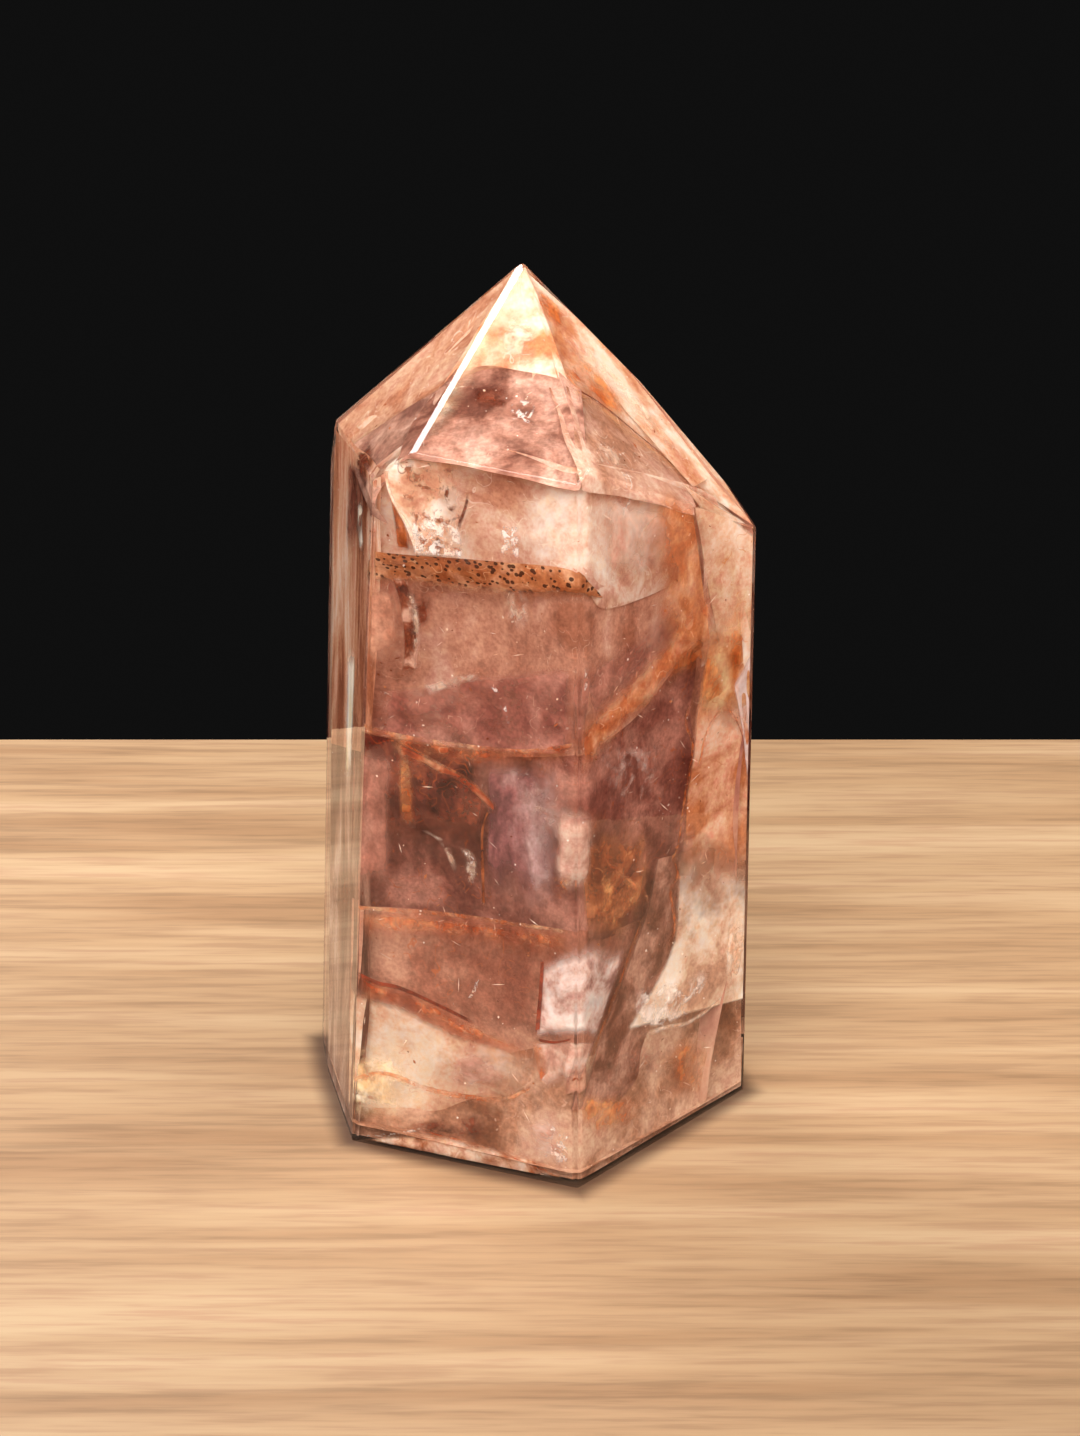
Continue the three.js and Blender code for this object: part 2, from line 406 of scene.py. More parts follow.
def stained_sheet(name, tones, grain, density, contrast=0.15, ends=(0.1, 0.1, 0.1, 0.1),
                  threads=None, specks=None, dots=0.06, stretch=None, glow=0.35):
    """A coated crack: clouds in the given tones, see-through where density is low. ends fade
    it out over that share of its width or height at the left, right, upper and lower edge.
    threads is the colour of thin wandering cracks on it, specks that of dark crumbs, dots the
    share of tiny pale bubbles, and glow the share of light that it lets through."""
    look = Finish(name)
    cloud = look.noise(grain, detail=4, roughness=0.58, distortion=0.5, stretch=stretch)
    last = len(tones) - 1
    colour = look.ramp(cloud, [(FIRST_TONE_AT + TONE_SPREAD * step / last, tone)
                               for step, tone in enumerate(tones)])
    mottle = look.noise(MOTTLE_SIZE, detail=3, roughness=0.7, stretch=stretch)
    mottle_grey = look.ramp(mottle, [(0.34, 0.22), (0.66, 0.78)])
    colour = look.mix(MOTTLE_SHARE, colour, mottle_grey, "OVERLAY")
    grit = look.noise(GRIT_SIZE, detail=1, roughness=0.7)
    grit_grey = look.ramp(grit, [(0.35, 0.2), (0.65, 0.8)])
    colour = look.mix(GRIT_SHARE, colour, grit_grey, "OVERLAY")
    patches = look.noise(grain * 0.7, detail=3, roughness=0.7, distortion=0.4)
    cover = look.node("MapRange", {
        "Value": patches, "From Min": 0.5 - contrast, "From Max": 0.5 + contrast,
        "To Min": density[0], "To Max": density[1],
    })[0]
    if threads:
        path = look.noise(THREAD_LOOP, detail=1, roughness=0.5, distortion=0.8)
        off_path = look.math("ABSOLUTE", look.math("SUBTRACT", path, 0.5))
        thread = look.math("LESS_THAN", off_path, look.math("MULTIPLY", mottle, THREAD_WIDTH))
        thread = look.math("MULTIPLY", thread, look.math("GREATER_THAN", patches, 0.52))
        colour = look.mix(look.math("MULTIPLY", thread, THREAD_SHARE), colour, threads)
    if specks:
        cell = look.node("TexVoronoi", {"Vector": look.place(), "Scale": 1 / CRUMB_SPACING})
        size = look.math("MULTIPLY", mottle, CRUMB_SIZE)
        crumb = look.math("LESS_THAN", cell["Distance"], size)
        colour = look.mix(look.math("MULTIPLY", crumb, CRUMB_SHARE), colour, specks)
    if dots:
        bubble = look.node("TexVoronoi", {"Vector": look.place(), "Scale": 1 / BUBBLE_SPACING})
        chance = look.node("SeparateColor", {"Color": bubble["Color"]})[0]
        pick = look.math("LESS_THAN", chance, dots)
        size = look.math("MULTIPLY", mottle, BUBBLE_SIZE)
        dot = look.math("MULTIPLY", pick, look.math("LESS_THAN", bubble["Distance"], size))
        colour = look.mix(dot, colour, BUBBLE_WHITE)
        cover = look.math("MAXIMUM", cover, dot)
    across, down, _ = look.node("SeparateXYZ", {"Vector": look.place("UV")})
    wander = look.noise(WORN_EDGE_SIZE, detail=3, roughness=0.7)
    ragged = look.math("MULTIPLY", look.math("SUBTRACT", wander, 0.5), WORN_EDGE_DEPTH)
    sides = (across, look.math("SUBTRACT", 1.0, across), down, look.math("SUBTRACT", 1.0, down))
    for side, reach in zip(sides, ends):
        if reach > 0:
            worn = look.math("ADD", look.math("DIVIDE", side, reach), ragged)
            full = look.math("DIVIDE", side, reach, clamp=True)
            worn = look.math("MULTIPLY", worn, full, clamp=True)
            cover = look.math("MULTIPLY", cover, worn)
    front = look.node("BsdfDiffuse", {"Color": colour})[0]
    through = look.node("BsdfTranslucent", {"Color": colour})[0]
    coated = look.blend(glow, front, through)
    if density == OPAQUE and ends == NO_FADE:
        return look.show(coated)
    clear = look.node("BsdfTransparent")[0]
    return look.show(look.blend(cover, clear, coated))


def seen(name, facet_number, upper, lower, material, **shape):
    """A sheet whose upper and lower edge are both seen through one facet."""
    return sheet_between(name, [under(facet_number, *upper)], [under(facet_number, *lower)],
                         material, **shape)


VEIN_DIP = 0.6


def vein(name, facet_number, path, width, material, down=True):
    """A narrow sheet along a path of spots, width picture points wide, below the path or, for
    an upright one, to the right of it. Its other edge lies VEIN_DIP mm deeper."""
    shift = (0, width, VEIN_DIP) if down else (width, 0, VEIN_DIP)
    beside = [tuple(np.add(spot, shift)) for spot in path]
    return seen(name, facet_number, path, beside, material, bend=0.1, columns=90, rows=8)


# The tip's pale rim. Behind the tip facets the stone is milky peach with warm ochre smears,
# and it ends below in the sharp outline of the back shoulders.
PALE = linear(255, 236, 214)
CLOUD = linear(246, 208, 178)
OCHRE = linear(222, 136, 70)
RUST = linear(192, 96, 46)
UMBER = linear(112, 52, 32)
rim_look = stained_sheet("tip_rim", grain=7 * MM, density=OPAQUE, ends=NO_FADE, threads=PALE,
                         dots=0.1, glow=0.45,
                         tones=[linear(216, 144, 100), linear(232, 178, 140), linear(244, 204, 172),
                                PALE])
# A darker copy of the rim for the left tip facet: painted shade.
rim_painted_shade = stained_sheet("tip_rim_shaded", grain=6 * MM, density=OPAQUE, ends=NO_FADE,
                          threads=PALE, dots=0.1, glow=0.45,
                          tones=[linear(198, 136, 104), linear(216, 166, 134),
                                 linear(228, 186, 156)])
milk = stained_sheet("milky_wisps", grain=4 * MM, density=(-0.2, 0.85), contrast=0.14,
                     ends=(0.25, 0.25, 0.3, 0.3), stretch=(1, 1, 0.6), dots=0.1,
                     tones=[linear(232, 196, 168), PALE])
# White fracture faces: partly their own white, partly painted glints where they catch the lamps.
glint = stained_sheet("white_glint", grain=1.5 * MM, density=(-0.9, 1.0), contrast=0.1,
                      ends=(0.15, 0.15, 0.2, 0.2), stretch=(1, 1, 0.4), dots=0, glow=0.6,
                      tones=[linear(255, 236, 220), linear(255, 250, 244)])
ochre_smear = stained_sheet("ochre_smear", grain=5 * MM, density=(0.1, 1.0), contrast=0.13,
                            ends=(0.25, 0.25, 0.25, 0.3),
                            tones=[linear(178, 88, 42), linear(208, 120, 64),
                                   linear(232, 160, 100)])
seen("tip_rim_left", TIP_LEFT, material=rim_painted_shade,
     upper=[(338, 424, 1.5), (395, 374, 1.5), (460, 317, 1.5), (519, 267, 1)],
     lower=[(351, 446, 4), (400, 413, 4), (450, 383, 5.5), (478, 368, 8)])
seen("tip_rim_front", TIP_FRONT, material=rim_look,
     upper=[(518, 268, 0.8), (522, 265, 0.8), (526, 268, 0.8)],
     lower=[(450, 382, 4), (467, 370, 4), (490, 366, 4), (520, 371, 4), (545, 375, 3.5),
            (557, 378, 3)])
seen("tip_rim_right", TIP_RIGHT, material=rim_look,
     upper=[(522, 268, 1), (600, 340, 1.5), (680, 422, 1.5), (726, 484, 1.5), (754, 526, 1)],
     lower=[(558, 378, 6), (599, 402, 5), (638, 434, 5), (661, 453, 5), (690, 482, 5)])
seen("ochre_rim_high", TIP_RIGHT, material=ochre_smear,
     upper=[(528, 280, 0.8), (548, 292, 0.8), (566, 310, 0.8)],
     lower=[(534, 306, 1.5), (548, 322, 1.5), (570, 335, 1.5)])
seen("ochre_rim_low", TIP_RIGHT, material=ochre_smear,
     upper=[(552, 350, 1), (584, 356, 1), (622, 392, 1)],
     lower=[(558, 392, 2), (590, 402, 2), (636, 432, 2)])
seen("milk_rim", TIP_RIGHT, material=milk,
     upper=[(552, 318, 0.8), (590, 345, 0.8), (640, 398, 0.8), (690, 450, 0.8)],
     lower=[(560, 365, 2), (598, 380, 2), (640, 422, 2), (690, 470, 2)])
# Painted highlight: a pale cream sheet beside the ridge stands in for the soft glow round the
# lamp's reflection on the ridge.
painted_ridge_highlight = stained_sheet("painted_ridge_highlight", grain=4 * MM, density=(0.1, 0.7),
                           ends=(0.05, 0.2, 0.0, 1.0), dots=0, glow=0.3,
                           tones=[linear(232, 200, 160), linear(248, 222, 186)])
seen("painted_highlight_beside_ridge", TIP_FRONT, material=painted_ridge_highlight,
     upper=[(522, 268, 0.5), (478, 344, 0.5), (418, 448, 0.5)],
     lower=[(528, 282, 0.9), (496, 352, 0.9), (440, 452, 0.9)])
seen("milk_beside_ridge", TIP_FRONT, material=milk,
     upper=[(520, 272, 0.6), (505, 310, 0.6), (480, 350, 0.6)],
     lower=[(530, 310, 1.5), (538, 345, 1.5), (526, 375, 1.5)])

# The hollow under the tip. Below the shoulders' outline one looks down into the tan and
# rose inside, where dark red smudges, a small painted white glint and a milky block lie.
hollow_look = stained_sheet("tip_hollow", grain=7 * MM, density=OPAQUE, ends=NO_FADE,
                            dots=0.15,
                            tones=[linear(118, 74, 60), linear(156, 108, 90), linear(188, 140, 120),
                                   linear(214, 172, 152)])
# A paler copy of the hollow behind the right tip facet: partly the stone's own paler tone, partly
# painted light where the lamps leave it darker.
hollow_pale_painted_light = stained_sheet("tip_hollow_pale", grain=6 * MM, density=OPAQUE, ends=NO_FADE,
                            threads=PALE, dots=0.15,
                            tones=[linear(186, 134, 106), linear(210, 162, 136),
                                   linear(230, 192, 168)])
hollow_grey = stained_sheet("tip_hollow_grey", grain=5 * MM, density=OPAQUE, ends=NO_FADE,
                            dots=0.1,
                            tones=[linear(138, 94, 80), linear(176, 130, 110),
                                   linear(208, 164, 142)])
tan_edge = stained_sheet("tan_edge", grain=5 * MM, density=(0.2, 0.9), ends=(0.1, 0.1, 0.0, 0.8),
                         dots=0.05,
                         tones=[linear(176, 122, 84), linear(206, 154, 112)])
smoke = stained_sheet("brown_smoke", grain=4 * MM, density=(0.1, 0.95), contrast=0.12,
                      ends=(0.25, 0.25, 0.25, 0.3), dots=0.03,
                      tones=[linear(84, 40, 30), UMBER, linear(150, 84, 62)])
seen("hollow_front", TIP_FRONT, material=hollow_look,
     upper=[(408, 415, 3), (450, 386, 5), (490, 369, 5), (535, 373, 5), (572, 384, 5)],
     lower=[(384, 456, 0.8), (430, 460, 0.9), (480, 469, 0.9), (530, 479, 0.9), (577, 488, 0.9)])
seen("hollow_right", TIP_RIGHT, material=hollow_pale_painted_light,
     upper=[(566, 386, 4), (599, 403, 5), (638, 435, 5), (661, 454, 5), (688, 482, 5)],
     lower=[(586, 490, 0.9), (620, 496, 0.9), (660, 503, 0.9), (698, 512, 0.9)])
vein("tan_below_rim", TIP_RIGHT, material=tan_edge, width=16,
     path=[(560, 380, 2), (599, 404, 2), (638, 436, 2), (661, 455, 2), (686, 476, 2)])
seen("hollow_left", TIP_LEFT, material=hollow_grey,
     upper=[(351, 446, 3), (400, 413, 3), (450, 383, 3)],
     lower=[(352, 520, 3), (376, 476, 3), (412, 436, 2)])
seen("smudge_dark_red", TIP_FRONT, material=smoke,
     upper=[(462, 384, 2), (490, 382, 2), (516, 390, 2)],
     lower=[(468, 404, 3), (490, 412, 3), (516, 412, 3)])
seen("smudge_left", TIP_LEFT, material=smoke,
     upper=[(352, 450, 2), (364, 441, 2), (378, 432, 2)],
     lower=[(354, 506, 2.5), (363, 488, 2.5), (372, 466, 2.5)])
seen("milk_hollow", TIP_FRONT, material=glint,
     upper=[(508, 402, 0.8), (522, 398, 0.8), (536, 404, 0.8)],
     lower=[(512, 426, 0.8), (522, 424, 0.8), (534, 428, 0.8)])
seen("glint_block", TIP_RIGHT, material=milk,
     upper=[(590, 438, 1), (606, 440, 1), (622, 452, 1)],
     lower=[(586, 474, 2), (602, 470, 2), (640, 476, 2)])

# Hazy storeys. Old cracks part the stone into storeys that run round behind the front and
# the right facet, and each has its own haze: pale peach at the top, then rose, dusky mauve
# and salmon, and cream and grey at the foot.
ROSE = linear(208, 150, 122)
BLUSH = linear(228, 184, 156)
PLUM = linear(158, 98, 94)
upper_haze = stained_sheet("upper_haze", grain=8 * MM, density=OPAQUE, ends=NO_FADE,
                           threads=PALE, dots=0.1,
                           tones=[linear(206, 146, 116), linear(224, 176, 148),
                                  linear(238, 202, 178), PALE])
rose_haze = stained_sheet("rose_haze", grain=11 * MM, density=OPAQUE, ends=NO_FADE,
                          threads=BLUSH,
                          tones=[linear(170, 108, 82), linear(194, 134, 108), ROSE,
                                 linear(222, 172, 148)])
dusk_haze = stained_sheet("dusk_haze", grain=8 * MM, density=OPAQUE, ends=NO_FADE,
                          threads=RUST,
                          tones=[linear(116, 62, 50), linear(154, 94, 78), linear(190, 128, 108)])
plum_haze = stained_sheet("plum_haze", grain=7 * MM, density=(0.7, 1.0),
                          ends=(0.06, 0.35, 0.12, 0.35), stretch=(1, 1, 0.5),
                          tones=[linear(110, 64, 64), PLUM, linear(178, 128, 122),
                                 linear(214, 172, 164)])
lower_haze = stained_sheet("lower_haze", grain=10 * MM, density=OPAQUE, ends=NO_FADE,
                           threads=linear(206, 110, 62), dots=0.1,
                           tones=[linear(150, 86, 66), linear(176, 112, 88), ROSE])
cream_haze = stained_sheet("cream_haze", grain=9 * MM, density=(0.85, 1.0),
                           ends=(0.0, 0.2, 0.1, 0.1), threads=OCHRE, dots=0.1,
                           tones=[linear(206, 146, 112), linear(230, 180, 146),
                                  linear(244, 206, 174), linear(255, 230, 202)])
lilac_haze = stained_sheet("lilac_haze", grain=6 * MM, density=(0.2, 0.95),
                           ends=(0.45, 0.35, 0.45, 0.35), dots=0.25,
                           tones=[linear(190, 138, 120), linear(214, 168, 150),
                                  linear(234, 196, 180)])
grey_haze = stained_sheet("grey_haze", grain=8 * MM, density=OPAQUE, ends=NO_FADE,
                          threads=BLUSH, dots=0.15,
                          tones=[linear(136, 84, 58), linear(184, 130, 100), linear(216, 170, 140)])
sheet_between("haze_upper", material=upper_haze, seed=3,
              upper=[under(FRONT, (374, 466, 3), (420, 447, 4), (500, 458, 4), (568, 472, 2.5)),
                     under(RIGHT, (600, 470, 2.5), (640, 480, 4), (700, 495, 5), (722, 505, 4))],
              lower=[under(FRONT, (373, 566, 6), (420, 566, 6), (500, 572, 6), (568, 580, 2.5)),
                     under(RIGHT, (600, 608, 2.5), (640, 598, 5), (690, 575, 6), (716, 565, 4))])
sheet_between("haze_rose", material=rose_haze, seed=4,
              upper=[under(FRONT, (367, 548, 7), (420, 552, 8), (500, 556, 7), (568, 564, 2.8)),
                     under(RIGHT, (600, 585, 2.8), (640, 580, 5), (690, 556, 6), (720, 545, 5))],
              lower=[under(FRONT, (358, 732, 7), (420, 746, 8), (500, 756, 7), (568, 756, 2.8)),
                     under(RIGHT, (600, 745, 2.8), (640, 712, 5), (680, 660, 6), (712, 625, 5))])
sheet_between("haze_dusk", material=dusk_haze, seed=5,
              upper=[under(FRONT, (356, 722, 8), (420, 736, 9), (500, 746, 8), (568, 746, 3.1)),
                     under(RIGHT, (600, 735, 3.1), (640, 702, 6), (680, 645, 7), (712, 610, 6))],
              lower=[under(FRONT, (352, 912, 8), (420, 916, 9), (500, 926, 8), (568, 936, 3.1)),
                     under(RIGHT, (600, 940, 3.1), (630, 930, 6), (670, 915, 7), (690, 890, 6))])
sheet_between("haze_lower", material=lower_haze, seed=7,
              upper=[under(FRONT, (352, 905, 6), (420, 909, 7), (500, 919, 6), (568, 930, 2.8)),
                     under(RIGHT, (592, 932, 2.8), (615, 930, 5), (650, 915, 7))],
              lower=[under(FRONT, (352, 1030, 6), (420, 1035, 7), (500, 1060, 6), (568, 1085, 2.8)),
                     under(RIGHT, (582, 1095, 2.8), (600, 1095, 5), (640, 1060, 7))])
seen("haze_cream", FRONT, material=cream_haze, seed=8,
     upper=[(347, 984, 4), (400, 1000, 4), (460, 1030, 4), (548, 1058, 4)],
     lower=[(346, 1118, 3), (400, 1122, 4), (460, 1130, 4), (548, 1136, 4)])
sheet_between("haze_foot", material=grey_haze, seed=10,
              upper=[under(FRONT, (353, 1085, 4), (430, 1090, 5), (500, 1056, 5), (562, 1046, 2.6)),
                     under(RIGHT, (592, 1056, 2.5), (640, 1030, 5), (700, 1000, 5), (741, 985, 2))],
              lower=[under(FRONT, (353, 1150, 1.5), (430, 1170, 1.5), (500, 1184, 1.5),
                           (562, 1194, 1.5)),
                     under(RIGHT, (588, 1188, 1.5), (640, 1160, 1.5), (700, 1126, 1.5),
                           (741, 1102, 1.2))])

# The upper storey. A shell-shaped break beside the left edge is pale and rippled like the
# inside of a mussel, with a cream rim and, at its foot, wet white glints that are painted in.
# The right side is milky and ends in an amber wall.
break_look = stained_sheet("shell_break", grain=5 * MM, density=(0.9, 1.0),
                           ends=(0.03, 0.03, 0.02, 0.5), threads=linear(132, 78, 56), dots=0.1,
                           tones=[linear(222, 166, 132), linear(246, 206, 176), PALE,
                                  linear(255, 244, 230)])
dark_rust = stained_sheet("dark_rust", grain=3 * MM, density=(0.75, 1.0),
                          ends=(0.08, 0.08, 0.15, 0.3), dots=0.03,
                          tones=[linear(96, 40, 22), linear(150, 74, 36), linear(186, 104, 58)])
cream_edge = stained_sheet("cream_edge", grain=2 * MM, density=(0.3, 1.0),
                           ends=(0.15, 0.15, 0.3, 0.5), dots=0,
                           tones=[linear(236, 190, 156), CLOUD, PALE])
seen("break_shell", FRONT, material=break_look, bend=0.6,
     upper=[(398, 457, 1.4), (386, 474, 1.4), (391, 500, 1.4), (405, 528, 1.4), (416, 556, 1.4)],
     lower=[(474, 464, 2.5), (480, 490, 2.5), (478, 520, 2.5), (472, 557, 2.5)])
seen("break_dark", FRONT, material=dark_rust,
     upper=[(387, 486, 1.6), (392, 515, 1.6), (396, 552, 1.6)],
     lower=[(390, 484, 1.8), (406, 520, 1.8), (415, 554, 1.8)])
vein("break_rim", FRONT, material=cream_edge, width=7, down=False,
     path=[(396, 456, 1), (384, 474, 1), (390, 500, 1), (405, 525, 1), (412, 552, 1)])
# Painted glints: partly white fracture, partly white painted in for the lamps' light caught at the
# break's foot.
painted_wet_glint = stained_sheet("painted_wet_glint", grain=1.3 * MM, density=(-0.5, 1.0), contrast=0.1,
                          ends=(0.1, 0.1, 0.3, 0.1), stretch=(1, 1, 0.45), dots=0, glow=0.5,
                          tones=[linear(255, 238, 222), linear(255, 252, 246)])
upright_streaks = stained_sheet("upright_streaks", grain=2.2 * MM, density=(-1.3, 1.0),
                                contrast=0.14, ends=(0.15, 0.15, 0.15, 0.15), stretch=(1, 1, 0.3),
                                dots=0,
                                tones=[linear(112, 62, 42), linear(170, 112, 84)])
seen("break_glints", FRONT, material=painted_wet_glint,
     upper=[(404, 514, 0.8), (430, 508, 0.8), (462, 518, 0.8)],
     lower=[(414, 556, 0.9), (436, 558, 0.9), (466, 560, 0.9)])
seen("break_streaks", FRONT, material=upright_streaks,
     upper=[(404, 500, 0.9), (430, 498, 0.9), (466, 500, 0.9)],
     lower=[(416, 556, 1), (440, 558, 1), (468, 560, 1)])
seen("break_ripples", FRONT, material=upright_streaks,
     upper=[(392, 462, 1), (430, 462, 1), (465, 470, 1)],
     lower=[(396, 500, 1), (425, 505, 1), (455, 505, 1)])
vein("break_mark", FRONT, material=smoke, width=5, down=False,
     path=[(466, 488, 1), (464, 505, 1), (458, 522, 1), (455, 535, 1)])
seen("glints_middle", FRONT, material=glint,
     upper=[(500, 522, 1), (510, 522, 1), (520, 524, 1)],
     lower=[(500, 556, 1), (510, 560, 1), (520, 562, 1)])
upper_milk = stained_sheet("upper_milk", grain=6 * MM, density=(0.2, 0.9), contrast=0.2,
                           ends=(0.15, 0.2, 0.2, 0.3), stretch=(1, 1, 0.6), dots=0.2,
                           tones=[linear(226, 180, 156), linear(246, 214, 194)])
seen("milk_upper", RIGHT, material=upper_milk,
     upper=[(600, 486, 1), (650, 500, 1), (680, 510, 1)],
     lower=[(600, 590, 1.6), (640, 580, 2), (690, 560, 2)])
vein("glint_long", RIGHT, material=glint, width=8, down=False,
     path=[(628, 470, 0.8), (624, 495, 0.8), (620, 524, 0.8)])
amber_wall = stained_sheet("amber_wall", grain=5 * MM, density=(0.65, 1.0),
                           ends=(0.55, 0.03, 0.2, 0.15), threads=linear(246, 200, 160),
                           tones=[linear(192, 108, 60), linear(214, 140, 92),
                                  linear(232, 174, 130)])
seen("ochre_right", RIGHT, material=amber_wall, rows=40,
     upper=[(636, 470, 0.8), (664, 473, 0.8), (690, 484, 0.8)],
     lower=[(646, 655, 1), (684, 660, 1), (716, 666, 1)])
vein("milk_line_right", RIGHT, material=milk, width=8,
     path=[(636, 536, 0.8), (655, 515, 0.8), (690, 500, 0.8)])

# The specked fracture. It starts at the front skin in a crisp line and dips back, so that
# its rusty, crumb-covered underside shows below the line.
specked_look = stained_sheet("rust_specked", grain=4 * MM, density=(0.9, 1.0),
                             ends=(0.01, 0.02, 0, 0.45), threads=linear(236, 190, 146),
                             specks=linear(58, 28, 18),
                             tones=[linear(156, 86, 48), linear(192, 120, 76),
                                    linear(216, 158, 118)])
sheet_between("crack_specked", material=specked_look,
              upper=[under(FRONT, (373, 551, 0.7), (430, 556, 0.7), (500, 561, 0.7),
                           (568, 569, 0.7)),
                     under(RIGHT, (588, 581, 0.9), (603, 597, 1))],
              lower=[under(FRONT, (374, 588, 5), (430, 592, 5), (500, 602, 4), (568, 606, 1.8)),
                     under(RIGHT, (590, 604, 1.4), (604, 600, 1.2))])

# The rose storey. A pale lobe and a dark vein beside it at the left, milky wisps, and a soft
# arc below which the stone turns mauve.
lobe_look = stained_sheet("pale_lobe", grain=5 * MM, density=(0.8, 1.0), ends=(0.3, 0.35, 0.1, 0.3),
                          tones=[linear(180, 120, 94), linear(202, 146, 118)])
arc_look = stained_sheet("mauve_arc", grain=6 * MM, density=(0.5, 0.95), ends=(0.12, 0.06, 0.12, 0),
                         threads=BLUSH, dots=0.15,
                         tones=[linear(146, 86, 74), linear(172, 110, 94), linear(194, 134, 116)])
arc_right = stained_sheet("mauve_arc_right", grain=6 * MM, density=(0.3, 0.85),
                          ends=(0.06, 0.12, 0.2, 0.1), threads=BLUSH, dots=0.15,
                          tones=[linear(156, 94, 78), linear(182, 120, 100), linear(204, 144, 122)])
dark_vein = stained_sheet("dark_vein", grain=2.5 * MM, density=(0.8, 1.0),
                          ends=(0.06, 0.12, 0.12, 0.3), dots=0.2,
                          tones=[linear(74, 34, 24), linear(128, 66, 42), linear(206, 160, 136)])
seen("lobe_left", FRONT, material=lobe_look,
     upper=[(371, 572, 1.5), (369, 620, 1.5), (366, 684, 1.5)],
     lower=[(388, 578, 2), (400, 620, 2), (398, 680, 2)])
vein("vein_dark", FRONT, material=dark_vein, width=18, down=False,
     path=[(390, 576, 1.4), (399, 605, 1.4), (403, 645, 1.4), (399, 682, 1.4)])
seen("milk_beside_vein", FRONT, material=milk,
     upper=[(410, 585, 1.2), (418, 600, 1.2), (424, 640, 1.2)],
     lower=[(408, 590, 1.4), (412, 640, 1.4), (410, 680, 1.4)])
seen("smoke_beside_vein", FRONT, material=smoke,
     upper=[(405, 575, 1.8), (425, 580, 1.8), (436, 600, 1.8)],
     lower=[(404, 650, 2), (416, 640, 2), (430, 625, 2)])
seen("milk_rose", FRONT, material=milk,
     upper=[(508, 588, 1), (520, 588, 1), (530, 592, 1)],
     lower=[(506, 624, 1), (518, 632, 1), (530, 630, 1)])
seen("arc_shade_front", FRONT, material=arc_look, seed=12,
     upper=[(375, 690, 3), (430, 682, 3), (480, 672, 3), (580, 664, 1.6)],
     lower=[(358, 728, 4), (430, 744, 4), (480, 750, 4), (580, 754, 1.6)])
seen("arc_shade_right", RIGHT, material=arc_right, seed=12,
     upper=[(576, 668, 1.4), (612, 648, 1.8), (640, 630, 2.4), (668, 606, 3), (708, 580, 3)],
     lower=[(576, 752, 1.4), (612, 728, 1.8), (640, 702, 2.6), (668, 670, 4), (712, 618, 4)])
vein("wisp_arc", FRONT, material=milk, width=14,
     path=[(400, 690, 1.5), (430, 682, 1.5), (455, 674, 1.5), (486, 670, 1.5)])
vein("wisp_curl", FRONT, material=glint, width=7, down=False,
     path=[(488, 684, 1), (498, 700, 1), (504, 728, 1)])
vein("wisp_needle", FRONT, material=glint, width=5, down=False,
     path=[(596, 672, 1), (590, 700, 1)])

# The great crack. A stained line dips slightly from the left edge to the front edge and
# climbs through the right facet as a fuzzy orange vein.
fuzzy_orange = stained_sheet("fuzzy_orange", grain=3 * MM, density=(0.25, 1.0), contrast=0.14,
                             ends=(0.08, 0.08, 0.25, 0.7), threads=linear(240, 190, 150),
                             tones=[linear(150, 62, 30), linear(192, 94, 50), linear(222, 140, 92)])
crack_edge = stained_sheet("crack_edge", grain=3 * MM, density=(0.0, 1.0), contrast=0.18,
                           ends=(0.02, 0.02, 0.1, 0.5), dots=0.2,
                           tones=[RUST, linear(222, 140, 92), linear(244, 190, 146)])
vein_orange = stained_sheet("vein_orange", grain=4 * MM, density=(0.7, 1.0),
                            ends=(0.08, 0.05, 0.38, 0.45), threads=linear(250, 204, 166),
                            tones=[linear(188, 94, 50), linear(216, 130, 82),
                                   linear(240, 172, 128)])
vein("great_crack", FRONT, material=crack_edge, width=9,
     path=[(356, 722, 0.7), (400, 733, 0.7), (450, 741, 0.7), (490, 746, 0.7), (530, 748, 0.7),
           (576, 742, 0.9)])
vein("great_crack_stain", FRONT, material=fuzzy_orange, width=30,
     path=[(380, 728, 1), (450, 741, 1), (490, 745, 1), (530, 746, 1), (576, 738, 1)])
vein("orange_vein", RIGHT, material=vein_orange, width=64,
     path=[(576, 726, 0.9), (600, 700, 0.9), (640, 662, 0.9), (665, 634, 0.9), (690, 604, 0.9),
           (712, 580, 0.9)])
seen("ochre_triangle", RIGHT, material=ochre_smear,
     upper=[(650, 650, 2), (680, 622, 2), (712, 598, 2)],
     lower=[(662, 690, 3), (690, 680, 3), (714, 668, 3)])

# The dusky storey. Rust-dark at the left with a red ribbon across it, mauve in the middle,
# brown behind the right facet, with flame-shaped milky wisps and a nest of rusty flakes.
rust_shadow = stained_sheet("rust_shadow", grain=5 * MM, density=(0.55, 1.0),
                            ends=(0.06, 0.15, 0.03, 0.4), threads=RUST,
                            tones=[linear(66, 26, 20), linear(108, 48, 36), linear(146, 76, 54)])
seen("shadow_rust", FRONT, material=rust_shadow,
     upper=[(358, 728, 1.5), (400, 737, 2), (450, 745, 2), (492, 751, 2)],
     lower=[(362, 850, 5), (400, 862, 5), (440, 864, 5), (486, 856, 5)])
seen("shadow_ribbon", FRONT, material=rust_shadow,
     upper=[(400, 748, 2), (440, 768, 2), (470, 786, 2), (490, 806, 2)],
     lower=[(418, 812, 3), (440, 842, 3), (462, 850, 3), (484, 838, 3)])
ribbon_look = stained_sheet("red_ribbon", grain=3 * MM, density=(0.6, 1.0),
                            ends=(0.1, 0.05, 0.15, 0.5),
                            tones=[linear(158, 64, 36), linear(200, 98, 58), linear(234, 158, 116)])
